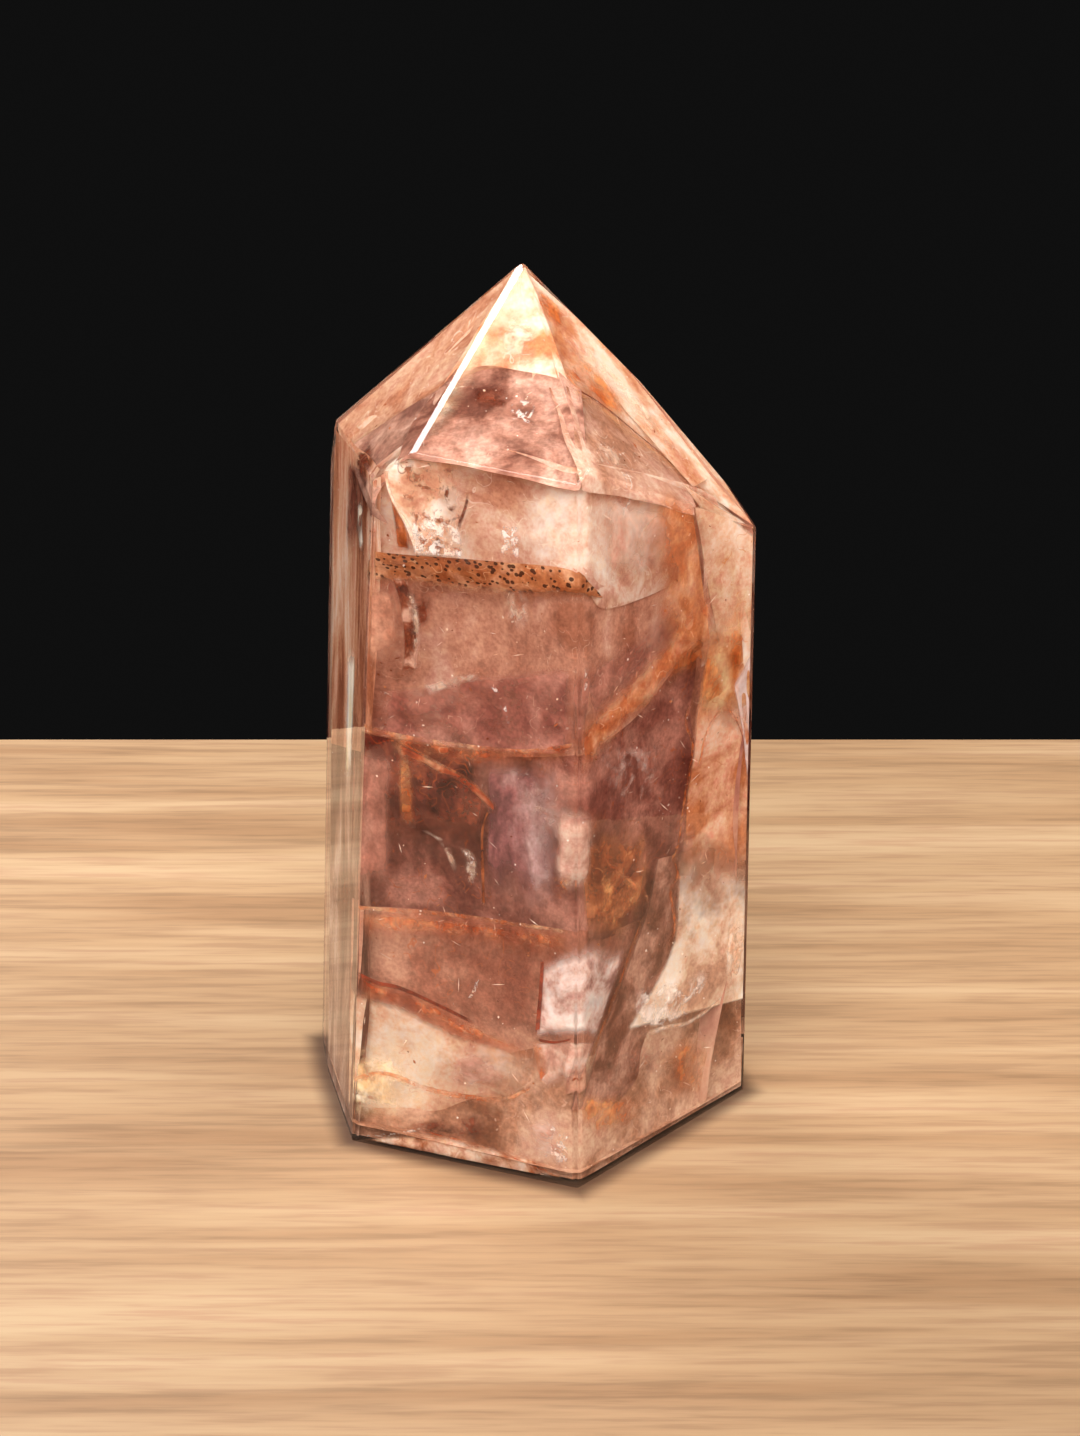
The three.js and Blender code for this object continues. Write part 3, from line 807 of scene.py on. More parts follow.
vein("red_ribbon", FRONT, material=ribbon_look, width=14,
     path=[(388, 738, 1.2), (440, 763, 1.2), (470, 780, 1.2), (497, 806, 1.2)])
vein("red_ribbon_edge", FRONT, material=crack_edge, width=5,
     path=[(400, 740, 1), (440, 762, 1), (470, 779, 1), (497, 804, 1)])
column_look = stained_sheet("salmon_column", grain=5 * MM, density=(0.75, 1.0),
                            ends=(0.1, 0.25, 0.1, 0.25), stretch=(1, 1, 0.5),
                            tones=[linear(146, 88, 70), linear(178, 114, 94),
                                   linear(200, 138, 116)])
seen("column_salmon", FRONT, material=column_look,
     upper=[(361, 742, 1.4), (376, 744, 1.4), (396, 748, 1.4)],
     lower=[(358, 905, 2), (372, 905, 2), (392, 905, 2)])
vein("bar_ochre", FRONT, material=ochre_smear, width=16, down=False,
     path=[(398, 750, 1.6), (398, 790, 1.6), (400, 828, 1.6)])
thin_milk = stained_sheet("thin_milk", grain=5 * MM, density=(-0.5, 0.6), contrast=0.2,
                          ends=(0.3, 0.3, 0.3, 0.3), stretch=(1, 1, 0.7), dots=0.2,
                          tones=[linear(214, 170, 150), linear(238, 206, 190)])
seen("plum_front", FRONT, material=plum_haze, seed=6,
     upper=[(486, 756, 3), (520, 758, 2.4), (574, 752, 1.6)],
     lower=[(484, 912, 4), (520, 922, 2.8), (572, 928, 1.6)])
seen("plum_milk", FRONT, material=thin_milk,
     upper=[(505, 764, 1.5), (540, 758, 1.5), (570, 762, 1.5)],
     lower=[(520, 840, 2), (545, 850, 2), (568, 850, 2)])
vein("plum_edge", FRONT, material=dark_rust, width=4, down=False,
     path=[(488, 808, 1), (481, 830, 1), (481, 870, 1), (482, 912, 1)])
vein("flame_left", FRONT, material=milk, width=9, down=False,
     path=[(420, 830, 1), (436, 840, 1), (446, 856, 1), (450, 874, 1)])
vein("flame_right", FRONT, material=milk, width=14, down=False,
     path=[(456, 846, 0.9), (464, 862, 0.9), (462, 888, 0.9)])
vein("flame_bright", FRONT, material=glint, width=7, down=False,
     path=[(462, 850, 0.8), (470, 864, 0.8), (470, 884, 0.8)])
blob_look = stained_sheet("pink_blob", grain=3 * MM, density=(0.85, 1.0),
                          ends=(0.25, 0.25, 0.25, 0.25), dots=0.1,
                          tones=[linear(200, 146, 124), linear(228, 184, 162)])
sheet_between("blob_pink", material=blob_look,
              upper=[under(FRONT, (550, 808, 1.2), (565, 803, 1.2)),
                     under(RIGHT, (586, 806, 1.2), (598, 814, 1.2))],
              lower=[under(FRONT, (554, 886, 1.3), (565, 893, 1.3)),
                     under(RIGHT, (583, 890, 1.3), (592, 882, 1.3))])
flake_nest = stained_sheet("flake_nest", grain=2.5 * MM, density=(-0.3, 1.0), contrast=0.1,
                           ends=(0.35, 0.35, 0.4, 0.4), threads=linear(250, 200, 140),
                           tones=[linear(142, 68, 36), linear(186, 100, 54), linear(216, 146, 90)])
nest_shade = stained_sheet("nest_shade", grain=4 * MM, density=(0.55, 1.0),
                           ends=(0.05, 0.25, 0.3, 0.25), threads=linear(226, 150, 96),
                           tones=[linear(122, 56, 32), linear(166, 88, 50), linear(202, 124, 78)])
seen("flakes_dark", RIGHT, material=nest_shade,
     upper=[(578, 800, 1.4), (612, 806, 1.8), (656, 826, 2)],
     lower=[(584, 950, 1.8), (620, 944, 2), (656, 905, 2.4)])
seen("flakes_yellow", FRONT, material=flake_nest,
     upper=[(548, 868, 1.2), (560, 864, 1.2), (574, 868, 1)],
     lower=[(550, 896, 1.4), (562, 900, 1.4), (574, 896, 1.2)])
seen("flakes_ochre", RIGHT, material=flake_nest,
     upper=[(582, 850, 1.2), (612, 858, 1.2), (650, 880, 1.2)],
     lower=[(588, 950, 1.6), (620, 940, 1.6), (652, 905, 1.6)])
vein("flakes_orange", RIGHT, material=fuzzy_orange, width=16,
     path=[(590, 838, 1.2), (612, 862, 1.2), (640, 884, 1.2), (650, 896, 1.2)])
seen("milk_right", RIGHT, material=thin_milk,
     upper=[(590, 742, 1), (630, 730, 1), (676, 735, 1)],
     lower=[(600, 800, 1), (630, 815, 1), (672, 815, 1)])

# The lower storey. Between two dipping cracks it is salmon and quite plain. The second
# crack is the reddest, and a pale, cloudy block stands where it meets the front edge.
red_line = stained_sheet("red_line", grain=2 * MM, density=(0.8, 1.0), ends=(0.08, 0.08, 0, 0.3),
                         dots=0,
                         tones=[linear(106, 36, 24), linear(160, 66, 40)])
vein("lower_crack", FRONT, material=crack_edge, width=7,
     path=[(354, 905, 0.7), (400, 908, 0.7), (450, 912, 0.7), (500, 919, 0.7), (566, 929, 0.7)])
vein("lower_crack_stain", FRONT, material=fuzzy_orange, width=36,
     path=[(354, 908, 1.2), (420, 912, 1.2), (500, 921, 1.2), (572, 932, 1.2)])
vein("red_crack", FRONT, material=fuzzy_orange, width=34,
     path=[(355, 968, 0.9), (378, 980, 0.9), (400, 986, 0.9), (432, 1000, 0.9), (466, 1018, 0.9),
           (536, 1046, 0.9)])
vein("red_crack_edge", FRONT, material=red_line, width=5,
     path=[(355, 970, 0.8), (378, 981, 0.8), (400, 986, 0.8), (440, 1004, 0.8), (480, 1024, 0.8)])
vein("glint_lower", FRONT, material=glint, width=5, down=False,
     path=[(476, 978, 0.8), (472, 990, 0.8), (466, 1000, 0.8)])
vein("red_upright", FRONT, material=red_line, width=5, down=False,
     path=[(541, 958, 0.8), (539, 990, 0.8), (535, 1036, 0.8)])
block_look = stained_sheet("pale_block", grain=5 * MM, density=(0.75, 1.0),
                           ends=(0.02, 0.08, 0.2, 0.12),
                           tones=[linear(176, 124, 112), linear(220, 178, 162),
                                  linear(246, 218, 204), linear(255, 242, 230)])
sheet_between("block_pale", material=block_look,
              upper=[under(FRONT, (543, 962, 1.8), (556, 954, 1.8), (568, 948, 1.8)),
                     under(RIGHT, (592, 938, 1.8), (612, 946, 2.5), (634, 936, 3))],
              lower=[under(FRONT, (536, 1038, 1.8), (550, 1038, 1.8), (564, 1038, 1.8)),
                     under(RIGHT, (582, 1038, 1.8), (590, 1040, 2.5), (597, 1040, 3))])
block_foot = stained_sheet("pale_block_foot", grain=4 * MM, density=(0.6, 1.0),
                           ends=(0.12, 0.12, 0.05, 0.4),
                           tones=[linear(204, 152, 130), linear(230, 188, 166),
                                  linear(246, 214, 196)])
sheet_between("block_lower", material=block_foot,
              upper=[under(FRONT, (530, 1042, 2), (548, 1042, 2), (564, 1041, 2)),
                     under(RIGHT, (580, 1041, 1.6), (588, 1041, 1.6), (596, 1042, 1.6))],
              lower=[under(FRONT, (540, 1090, 1.8), (552, 1092, 1.8), (562, 1094, 1.8)),
                     under(RIGHT, (572, 1092, 1.6), (576, 1092, 1.6), (580, 1092, 1.6))])
vein("block_line", FRONT, material=red_line, width=3,
     path=[(537, 1038, 1), (555, 1041, 1), (572, 1038, 1)])
vein("ochre_upright", FRONT, material=ochre_smear, width=14, down=False,
     path=[(528, 1038, 1.2), (534, 1060, 1.2), (540, 1090, 1.2)])

# The wedge. Behind the right facet a dark brown-grey wedge hangs between a straight slanting
# crack and the ragged border of the pale band.
wedge_look = stained_sheet("wedge", grain=5 * MM, density=(0.85, 1.0), ends=(0.0, 0.0, 0.1, 0),
                           dots=0.2,
                           tones=[linear(128, 76, 56), linear(170, 114, 92), linear(212, 160, 134)])
seen("wedge_upper", RIGHT, material=wedge_look,
     upper=[(656, 860, 2.5), (642, 920, 2.5), (618, 985, 2.2), (596, 1042, 1.8), (576, 1110, 1.6)],
     lower=[(692, 850, 5), (690, 900, 5), (672, 970, 5), (650, 1040, 5), (640, 1100, 4)])
vein("wedge_edge", RIGHT, material=ochre_smear, width=3, down=False,
     path=[(650, 898, 1.6), (634, 938, 1.6), (616, 990, 1.6), (596, 1042, 1.6), (580, 1090, 1.6)])

# The right-hand band. A pale block lies along the right edge, peach with rusty specks above
# and cream below, with a ragged border towards the middle and ochre stains at its waist.
band_look = stained_sheet("band_upper", grain=8 * MM, density=(0.9, 1.0), ends=(0.03, 0.0, 0.02, 0),
                          threads=OCHRE, dots=0.1,
                          tones=[linear(222, 164, 126), linear(234, 188, 154), CLOUD, PALE])
peach_band = stained_sheet("band_middle", grain=7 * MM, density=(0.9, 1.0),
                           ends=(0.25, 0.3, 0.06, 0), threads=RUST,
                           tones=[linear(200, 120, 76), linear(236, 172, 134),
                                  linear(255, 210, 178)])
cream_band = stained_sheet("band_lower", grain=7 * MM, density=(0.9, 1.0),
                           ends=(0.5, 0.03, 0.06, 0), dots=0.15,
                           tones=[linear(196, 146, 116), linear(228, 186, 154),
                                  linear(248, 218, 190), linear(255, 238, 216)])
seen("band_top", RIGHT, material=band_look,
     upper=[(690, 484, 3), (700, 540, 4), (710, 600, 4), (729, 686, 3)],
     lower=[(753, 532, 1), (753, 600, 1), (752, 650, 1), (738, 690, 2)])
seen("band_mid", RIGHT, material=peach_band, seed=5,
     upper=[(716, 690, 3), (698, 705, 3), (692, 750, 3.5), (685, 799, 4), (682, 845, 4),
            (680, 905, 4)],
     lower=[(740, 690, 1), (748, 730, 1), (750, 770, 1), (750, 830, 1), (749, 870, 1),
            (749, 905, 1)])
seen("band_low", RIGHT, material=cream_band, seed=15,
     upper=[(684, 820, 3.4), (677, 860, 3.4), (676, 905, 3.4), (670, 950, 3.4), (650, 990, 3.4),
            (622, 1034, 3.4)],
     lower=[(750, 820, 0.8), (750, 860, 0.8), (749, 900, 0.8), (748, 940, 0.8), (746, 980, 0.8),
            (742, 1000, 0.8)])
waist_look = stained_sheet("waist", grain=5 * MM, density=(0.8, 1.0), ends=(0.4, 0.4, 0.1, 0),
                           threads=RUST,
                           tones=[linear(196, 116, 62), linear(214, 152, 104),
                                  linear(232, 190, 140)])
lilac_white = stained_sheet("lilac_white", grain=5 * MM, density=(0.8, 1.0),
                            ends=(0.1, 0.25, 0.12, 0), dots=0.15,
                            tones=[linear(226, 194, 182), linear(248, 228, 220)])
seen("waist_fill", RIGHT, material=waist_look,
     upper=[(702, 590, 2.8), (706, 640, 2.8), (698, 700, 2.8), (694, 740, 2.8)],
     lower=[(753, 590, 0.9), (753, 640, 0.9), (752, 700, 0.9), (751, 740, 0.9)])
seen("waist_white", RIGHT, material=lilac_white,
     upper=[(732, 684, 0.8), (742, 730, 0.8), (748, 790, 0.8)],
     lower=[(753, 640, 0.7), (753, 730, 0.7), (752, 800, 0.7)])
seen("waist_ochre", RIGHT, material=ochre_smear,
     upper=[(722, 600, 1.2), (738, 590, 1.2), (750, 596, 1)],
     lower=[(728, 684, 1.5), (735, 690, 1.5), (742, 684, 1)])
seen("waist_tan", RIGHT, material=ochre_smear,
     upper=[(706, 640, 2), (716, 650, 2), (730, 680, 2)],
     lower=[(692, 730, 3), (704, 720, 3), (726, 704, 2.5)])
border_rust = stained_sheet("border_rust", grain=2 * MM, density=(0.3, 1.0),
                            ends=(0.08, 0.08, 0.1, 0.5),
                            tones=[linear(140, 66, 34), linear(186, 98, 54), linear(216, 140, 92)])
vein("waist_line_right", RIGHT, material=fuzzy_orange, width=6, down=False,
     path=[(722, 704, 1), (736, 722, 1), (746, 756, 1), (750, 800, 1)])
vein("waist_line_left", RIGHT, material=fuzzy_orange, width=6, down=False,
     path=[(722, 704, 1), (706, 730, 1), (696, 770, 1)])
vein("band_border", RIGHT, material=border_rust, width=5, down=False,
     path=[(690, 700, 1.8), (684, 722, 1.8), (691, 745, 1.8), (688, 772, 1.8), (683, 800, 1.8),
           (677, 844, 1.8), (672, 858, 1.8), (676, 874, 1.8), (669, 892, 1.8), (673, 926, 1.8),
           (662, 954, 1.8)])
white_veil = stained_sheet("white_veil", grain=3 * MM, density=(-0.1, 1.0), contrast=0.12,
                           ends=(0.2, 0.2, 0.3, 0.1), dots=0.2,
                           tones=[linear(236, 214, 196), linear(255, 246, 236)])
seen("band_milk", RIGHT, material=white_veil,
     upper=[(634, 984, 1.5), (670, 978, 1.5), (718, 962, 1.5)],
     lower=[(628, 1024, 2), (664, 1026, 2), (716, 1000, 2)])
vein("band_crest", RIGHT, material=cream_edge, width=8,
     path=[(640, 1032, 1), (664, 1024, 1), (690, 1018, 1), (724, 994, 1), (744, 984, 0.8)])
seen("band_yellow", RIGHT, material=cream_edge,
     upper=[(728, 910, 1), (738, 908, 1), (749, 906, 0.8)],
     lower=[(722, 1000, 1), (734, 1010, 1), (745, 1030, 0.8)])

# The foot. A pool of cream light is painted at the lower left under an arched crack, a dark
# mauve tongue lies along the base, and the right corner is smoky with an orange ring.
seen("lilac_patch", FRONT, material=lilac_haze,
     upper=[(424, 1030, 2.5), (470, 1036, 2.5), (524, 1054, 2.5)],
     lower=[(430, 1090, 3), (480, 1098, 3), (532, 1092, 3)])
# Painted light: a cream-yellow sheet stands in for the light that pools at the lower left of the
# foot.
painted_foot_light = stained_sheet("painted_foot_light", grain=4 * MM, density=(0.0, 0.95),
                          ends=(0.05, 0.45, 0.3, 0.25), dots=0.1,
                          tones=[linear(246, 206, 152), linear(255, 234, 190)])
seen("painted_light_lower_left", FRONT, material=painted_foot_light,
     upper=[(355, 1036, 1.6), (390, 1042, 1.6), (436, 1052, 1.6)],
     lower=[(354, 1124, 1.4), (390, 1122, 1.4), (430, 1116, 1.4)])
vein("arch_crack", FRONT, material=crack_edge, width=9,
     path=[(352, 1076, 0.9), (385, 1071, 0.9), (430, 1086, 0.9), (470, 1094, 0.9), (505, 1096, 0.9),
           (532, 1084, 0.9)])
seen("tongue_mauve", FRONT, material=smoke,
     upper=[(402, 1126, 1.2), (440, 1114, 1.2), (508, 1104, 1.2)],
     lower=[(404, 1130, 1.5), (450, 1140, 1.5), (508, 1152, 1.5)])
vein("foot_line", FRONT, material=glint, width=4,
     path=[(354, 1137, 0.7), (372, 1134, 0.7), (400, 1131, 0.7), (432, 1125, 0.7)])
strip_look = stained_sheet("foot_strip", grain=3 * MM, density=(0.8, 1.0), ends=(0.1, 0.1, 0.2, 0),
                           threads=RUST,
                           tones=[linear(176, 96, 56), linear(222, 168, 134),
                                  linear(244, 210, 184)])
seen("foot_strip", FRONT, material=strip_look,
     upper=[(360, 1137, 1), (430, 1132, 1), (480, 1142, 1), (556, 1162, 1)],
     lower=[(362, 1152, 1), (430, 1168, 1), (480, 1180, 1), (560, 1192, 1)])
vein("foot_orange", FRONT, material=fuzzy_orange, width=8,
     path=[(420, 1128, 0.8), (470, 1140, 0.8), (520, 1158, 0.8), (562, 1176, 0.8)])
seen("foot_block", FRONT, material=lilac_haze,
     upper=[(508, 1098, 1.6), (540, 1096, 1.6), (566, 1094, 1.6)],
     lower=[(510, 1160, 1.6), (540, 1168, 1.6), (564, 1174, 1.6)])
seen("foot_glints", FRONT, material=glint,
     upper=[(548, 1122, 0.8), (560, 1124, 0.8), (570, 1132, 0.8)],
     lower=[(550, 1160, 0.8), (560, 1166, 0.8), (568, 1164, 0.8)])
seen("ring_orange", RIGHT, material=ochre_smear,
     upper=[(666, 1038, 1.5), (690, 1032, 1.5), (714, 1038, 1.5)],
     lower=[(666, 1090, 2), (690, 1100, 2), (714, 1090, 2)])
seen("foot_ochre_right", RIGHT, material=ochre_smear,
     upper=[(576, 1086, 1.2), (600, 1092, 1.2), (640, 1088, 1.2)],
     lower=[(580, 1130, 1.5), (604, 1140, 1.5), (650, 1120, 1.5)])
foot_smoke = stained_sheet("foot_smoke", grain=5 * MM, density=(-0.1, 0.8),
                           ends=(0.4, 0.4, 0.4, 0.4), dots=0.05,
                           tones=[linear(132, 80, 64), linear(164, 108, 88)])
seen("foot_smoke_right", RIGHT, material=foot_smoke,
     upper=[(604, 1036, 1.2), (640, 1032, 1.2), (672, 1030, 1.2)],
     lower=[(604, 1090, 1.4), (640, 1092, 1.4), (672, 1084, 1.4)])

# The narrow left facet. Grey-pink and streaky from top to bottom; its upper wall is painted
# lighter and its lower wall darker, partly its own orange and grey tones and partly painted
# light and shade. Its bright upright streaks are painted reflections where an inner wall
# catches the light.
left_painted_light = stained_sheet("left_streaks_painted_light", grain=6 * MM, density=OPAQUE, ends=NO_FADE,
                           stretch=(1, 1, 0.25),
                           tones=[linear(166, 102, 72), linear(214, 150, 114),
                                  linear(240, 188, 154), linear(255, 222, 196)])
# The lower wall's copy is darker: partly its own greyer tone, partly painted shade.
left_painted_shade = stained_sheet("left_streaks", grain=6 * MM, density=OPAQUE, ends=NO_FADE,
                          stretch=(1, 1, 0.25),
                          tones=[linear(106, 66, 50), linear(150, 104, 84), linear(186, 144, 120),
                                 linear(222, 190, 168)])
seen("left_wall_high", LEFT, material=left_painted_light,
     upper=[(336, 430, 1), (332, 520, 1.1), (329, 610, 1.2), (327, 742, 1.2)],
     lower=[(372, 474, 2), (369, 540, 2.6), (366, 620, 3), (361, 752, 3)])
seen("left_wall_low", LEFT, material=left_painted_shade,
     upper=[(327, 738, 1.2), (325, 860, 1.2), (323, 1000, 1.2), (326, 1130, 0.8)],
     lower=[(361, 748, 3), (358, 870, 3), (356, 1000, 3), (352, 1150, 1.5)])
column_smoke = stained_sheet("column_smoke", grain=3 * MM, density=(0.5, 1.0),
                             ends=(0.15, 0.3, 0.2, 0.1), stretch=(1, 1, 0.4), dots=0.03,
                             tones=[linear(92, 48, 38), linear(128, 74, 58), linear(160, 104, 84)])
seen("left_smoke", LEFT, material=column_smoke,
     upper=[(347, 446, 0.8), (345, 500, 0.8), (344, 556, 0.8)],
     lower=[(367, 484, 1.1), (364, 515, 1.1), (361, 556, 1.1)])
seen("left_smoke_low", LEFT, material=smoke,
     upper=[(330, 868, 0.9), (329, 890, 0.9), (328, 912, 0.9)],
     lower=[(358, 870, 1.2), (357, 890, 1.2), (356, 912, 1.2)])
# Painted reflection: bright white streaks stand in for lamp light that an inner wall reflects.
painted_reflection_streak = stained_sheet("painted_reflection_streak", grain=3 * MM, density=(0.85, 1.0),
                              ends=(0.2, 0.2, 0.35, 0.25), stretch=(1, 1, 0.3), dots=0, glow=0.2,
                              tones=[linear(255, 240, 200), linear(255, 252, 244)])
vein("left_streak_high", LEFT, material=painted_reflection_streak, width=6, down=False,
     path=[(357, 500, 0.7), (357, 525, 0.7), (358, 552, 0.7)])
seen("left_streak_low", LEFT, material=painted_reflection_streak,
     upper=[(347, 640, 0.7), (345, 710, 0.7), (344, 790, 0.7)],
     lower=[(356, 640, 0.8), (354, 710, 0.8), (352, 790, 0.8)])

# Behind. The same storeys and cracks run on round the back of the stone, a little way under
# the three back facets.


def veil_round(name, turns, low, high, depth, material, seed, columns=90, rows=36):
    """A sheet that runs round under the skin. A point (u, v) lies at the bearing u of the way
    between two turns, at the height v of the way from the low to the high edge (smooth curves
    through the given heights), and depth mm, give or take a smooth ripple, short of the skin."""
    u = np.linspace(0, 1, columns)[None, :]
    v = np.linspace(0, 1, rows)[:, None]
    bottom, top = (smooth_curve(np.array(edge)[:, None], columns)[:, 0] for edge in (low, high))
    height = (bottom + v * (top - bottom)) * MM
    turn = np.broadcast_to(np.radians(turns[0] + u * (turns[1] - turns[0])), height.shape)
    outward = np.stack([np.cos(turn), np.sin(turn), 0 * turn], -1)
    axis = np.stack([0 * turn, 0 * turn, height], -1)
    inset = depth * MM * (1 + 0.2 * ripple(3 * u, v, seed))
    radius = np.maximum(reach_to_skin(axis, outward) - inset, 0.5 * MM)
    uv = np.stack(np.broadcast_arrays(u, 1 - v), -1)
    points = keep_inside(axis + radius[..., None] * outward)
    return new_piece(name, points, grid_faces(rows, columns), uv, material)


BACK_TURNS = (-14, 176)
veil_round("back_tip", BACK_TURNS, low=(76, 74, 70, 72, 70), high=(92, 94, 95, 94, 92), depth=2.5,
           material=rim_look, seed=61)
veil_round("back_upper", BACK_TURNS, low=(56, 60, 54, 58, 62), high=(77, 75, 72, 74, 72), depth=4,
           material=upper_haze, seed=62)
veil_round("back_rose", BACK_TURNS, low=(40, 44, 38, 42, 40), high=(58, 62, 56, 60, 64), depth=5.5,
           material=rose_haze, seed=63)
veil_round("back_dusk", BACK_TURNS, low=(20, 26, 18, 24, 22), high=(42, 46, 40, 44, 42), depth=6.5,
           material=dusk_haze, seed=64)
veil_round("back_lower", BACK_TURNS, low=(1, 1, 1, 1, 1), high=(22, 28, 20, 26, 24), depth=5,
           material=lower_haze, seed=65)
veil_round("back_crack_high", (10, 150), low=(57, 60, 54, 58), high=(62, 66, 58, 62), depth=2,
           material=fuzzy_orange, seed=66, rows=12)
veil_round("back_crack_middle", (-10, 170), low=(38, 42, 36, 40), high=(43, 48, 41, 44), depth=2,
           material=fuzzy_orange, seed=67, rows=12)
veil_round("back_crack_low", (-10, 130), low=(19, 25, 18, 20), high=(24, 29, 22, 24), depth=2,
           material=crack_edge, seed=68, rows=12)
veil_round("back_milk", (40, 130), low=(8, 6, 10), high=(20, 16, 22), depth=1.5, material=milk,
           seed=69, rows=16)
veil_round("back_milk_high", (60, 120), low=(62, 60, 64), high=(76, 74, 76), depth=1.5,
           material=milk, seed=70, rows=16)
veil_round("back_rust", (90, 165), low=(26, 30, 28), high=(38, 44, 40), depth=2.5,
           material=rust_shadow, seed=71, rows=16)

# Needles and crumbs. All through the stone float short pale needles, rusty flakes and dark
# crumbs of iron oxide, most of them near the skin.


def scatter(name, count, length, width, material, seed, low=3, high=84):
    """Thin four-cornered flakes. Each lies at a random height from low to high mm and at 80 to
    98.5 per cent of the way from the axis to the skin, and points in a random direction; its
    corners are its middle plus and minus half its length along and half its width across."""
    draw = np.random.default_rng(seed)
    turn = draw.uniform(0, 2 * np.pi, count)
    outward = np.stack([np.cos(turn), np.sin(turn), 0 * turn], -1)
    axis = np.stack([0 * turn, 0 * turn, draw.uniform(low, high, count) * MM], -1)
    reach = reach_to_skin(axis, outward)
    middle = axis + (reach * draw.uniform(0.8, 0.985, count))[:, None] * outward
    along = draw.normal(size=(count, 3))
    along /= np.linalg.norm(along, axis=1, keepdims=True)
    across = np.cross(along, draw.normal(size=(count, 3)))
    across /= np.linalg.norm(across, axis=1, keepdims=True)
    size = draw.uniform(0.3, 1, (count, 1)) ** 2 * MM / 2
    corners = [middle + size * (a * length * along + b * width * across)
               for a, b in ((-1, 0), (0, -1), (1, 0), (0, 1))]
    points = keep_inside(np.stack(corners, 1)).reshape(-1, 3)
    uv = np.tile([(0, 0.5), (0.5, 0), (1, 0.5), (0.5, 1)], (count, 1))
    return new_piece(name, points, np.arange(4 * count).reshape(-1, 4), uv, material)


pale_flake = stained_sheet("pale_flake", grain=2 * MM, density=OPAQUE, ends=NO_FADE, dots=0,
                           glow=0.5,
                           tones=[CLOUD, PALE])
rust_flake = stained_sheet("rust_flake", grain=2 * MM, density=OPAQUE, ends=NO_FADE, dots=0,
                           tones=[linear(150, 80, 50), linear(196, 120, 76)])
dark_flake = stained_sheet("dark_flake", grain=2 * MM, density=OPAQUE, ends=NO_FADE, dots=0,
                           tones=[UMBER, linear(150, 76, 44)])
scatter("needles_pale", count=1000, length=2.0, width=0.15, material=pale_flake, seed=51, high=90)
scatter("crumbs_pale", count=900, length=0.5, width=0.35, material=pale_flake, seed=52, high=90)
scatter("flakes_rust", count=500, length=0.9, width=0.45, material=rust_flake, seed=53)
scatter("crumbs_dark", count=600, length=0.6, width=0.3, material=dark_flake, seed=54)

# Near the foot one more cloudy crack lies almost level and hides what the stone stands on.
veil_across("veil_foot", centre=(0, 0, 1.6), azimuth=40, rise=88.5, bend=0.4, seed=31,
            material=grey_haze)

# The table. A pale, warm oak top with its grain running from left to right ends behind the
# crystal, with the dark of the studio beyond it. Painted shade makes it darker towards the
# near edge, and a painted shadow makes it darkest close round the foot.
TABLE_HALF = 109 * MM
BROAD_GRAIN = 9 * MM
THIN_GRAIN = 1.3 * MM
THIN_GRAIN_SHARE = 0.5
NEAR_EDGE = -70 * MM
FAR_EDGE = 50 * MM
CONTACT_SHADE = 3 * MM
UPRIGHT_FACET = 0.1
table_mesh = bpy.data.meshes.new("table")
table_corners = np.array([(-1, -1, 0), (1, -1, 0), (1, 1, 0), (-1, 1, 0)]) * TABLE_HALF
table_mesh.from_pydata(table_corners, [], [(0, 1, 2, 3)])
table_look = Finish("table")
broad_grain = table_look.noise(BROAD_GRAIN, detail=3, roughness=0.5, distortion=0.3,
                               stretch=(0.07, 1, 1))
wood = table_look.ramp(broad_grain, [(0.34, linear(176, 134, 96)), (0.5, linear(197, 156, 116)),
                                     (0.66, linear(213, 174, 134))])
thin_grain = table_look.noise(THIN_GRAIN, detail=3, roughness=0.65, stretch=(0.06, 1, 1))
thin_grey = table_look.ramp(thin_grain, [(0.38, 0.34), (0.5, 0.52), (0.62, 0.6)])
wood = table_look.mix(THIN_GRAIN_SHARE, wood, thin_grey, "OVERLAY")
# Painted shade: the wood is darkened from the far edge towards the near edge.
behind = table_look.node("SeparateXYZ", {"Vector": table_look.place()})["Y"]
fade = table_look.node("MapRange", {"Value": behind, "From Min": NEAR_EDGE, "From Max": FAR_EDGE,
                                    "To Min": 0.76, "To Max": 1.02})[0]
wood = table_look.mix(1.0, wood, fade, "MULTIPLY")
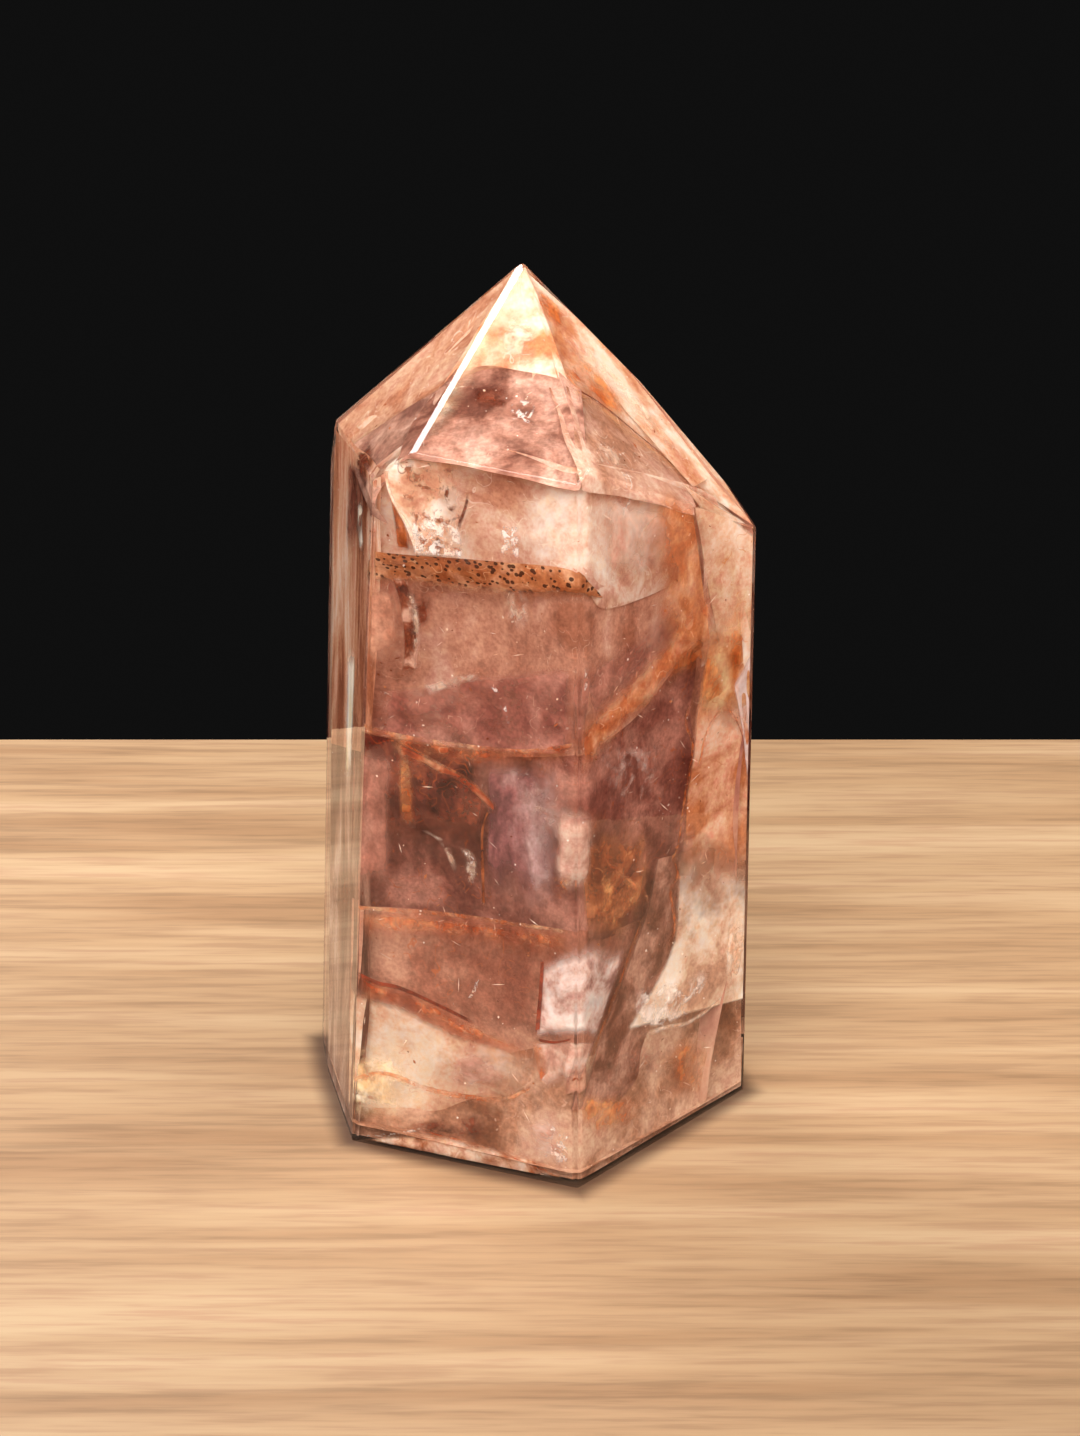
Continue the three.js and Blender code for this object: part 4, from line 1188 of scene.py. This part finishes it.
# Painted shadow round the foot: near the upright facets the wood is blended towards dark brown.
outside = None
for facet_number in np.flatnonzero(abs(FACET_NORMALS[:, 2]) < UPRIGHT_FACET):
    normal = tuple(FACET_NORMALS[facet_number])
    along = table_look.node("VectorMath", {0: table_look.place(), 1: normal},
                            operation="DOT_PRODUCT")["Value"]
    apart = table_look.math("SUBTRACT", along, float(FACET_DISTANCES[facet_number]))
    outside = table_look.math("MAXIMUM", outside, apart) if outside else apart
painted_foot_shadow = table_look.node("MapRange", {"Value": outside, "From Min": 0.0,
                                       "From Max": CONTACT_SHADE, "To Min": 0.2, "To Max": 1.0},
                          interpolation_type="SMOOTHSTEP")[0]
wood = table_look.mix(painted_foot_shadow, linear(60, 28, 16), wood)
oiled = table_look.node("BsdfPrincipled", {"Base Color": wood, "Roughness": 0.55})[0]
table_mesh.materials.append(table_look.show(oiled))
table = bpy.data.objects.new("table", table_mesh)
bpy.context.scene.collection.objects.link(table)

# The light. Soft lamps stand above, in front and to both sides, and one behind on the left
# glints along the tip's ridge. The studio is nearly dark. Light is followed through at most
# 7 facets and stained sheets, and through 32 places where a sheet is clear.
LAMP_AIM = Vector((0, 0, 50 * MM))


def soft_lamp(name, place, size, watts):
    """A rectangular lamp of the given width and height in metres that faces the crystal's
    middle."""
    data = bpy.data.lights.new(name, "AREA")
    data.shape = "RECTANGLE"
    data.size, data.size_y = size
    data.energy = watts
    lamp = bpy.data.objects.new(name, data)
    lamp.location = place
    lamp.rotation_euler = (LAMP_AIM - Vector(place)).to_track_quat("-Z", "Y").to_euler()
    lamp.visible_camera = False
    bpy.context.scene.collection.objects.link(lamp)


soft_lamp("lamp_ridge", place=(-0.3, 0.34, 0.44), size=(0.18, 0.25), watts=1.6)
soft_lamp("lamp_front", place=(-0.05, -0.5, 0.36), size=(0.45, 0.3), watts=2.9)
soft_lamp("lamp_top", place=(0.02, -0.08, 0.55), size=(0.4, 0.3), watts=1.9)
soft_lamp("lamp_left", place=(-0.34, -0.34, 0.4), size=(0.25, 0.3), watts=1.3)
soft_lamp("lamp_right", place=(0.42, -0.14, 0.25), size=(0.2, 0.35), watts=1.0)

world = bpy.data.worlds.new("studio")
world.use_nodes = True
world.node_tree.nodes["Background"].inputs["Color"].default_value = (0.005, 0.005, 0.005, 1)
bpy.context.scene.world = world
light_paths = bpy.context.scene.cycles
light_paths.max_bounces = 7
light_paths.diffuse_bounces = 2
light_paths.glossy_bounces = 3
light_paths.transmission_bounces = 7
light_paths.transparent_max_bounces = 32
bpy.context.scene.view_settings.view_transform = "Standard"
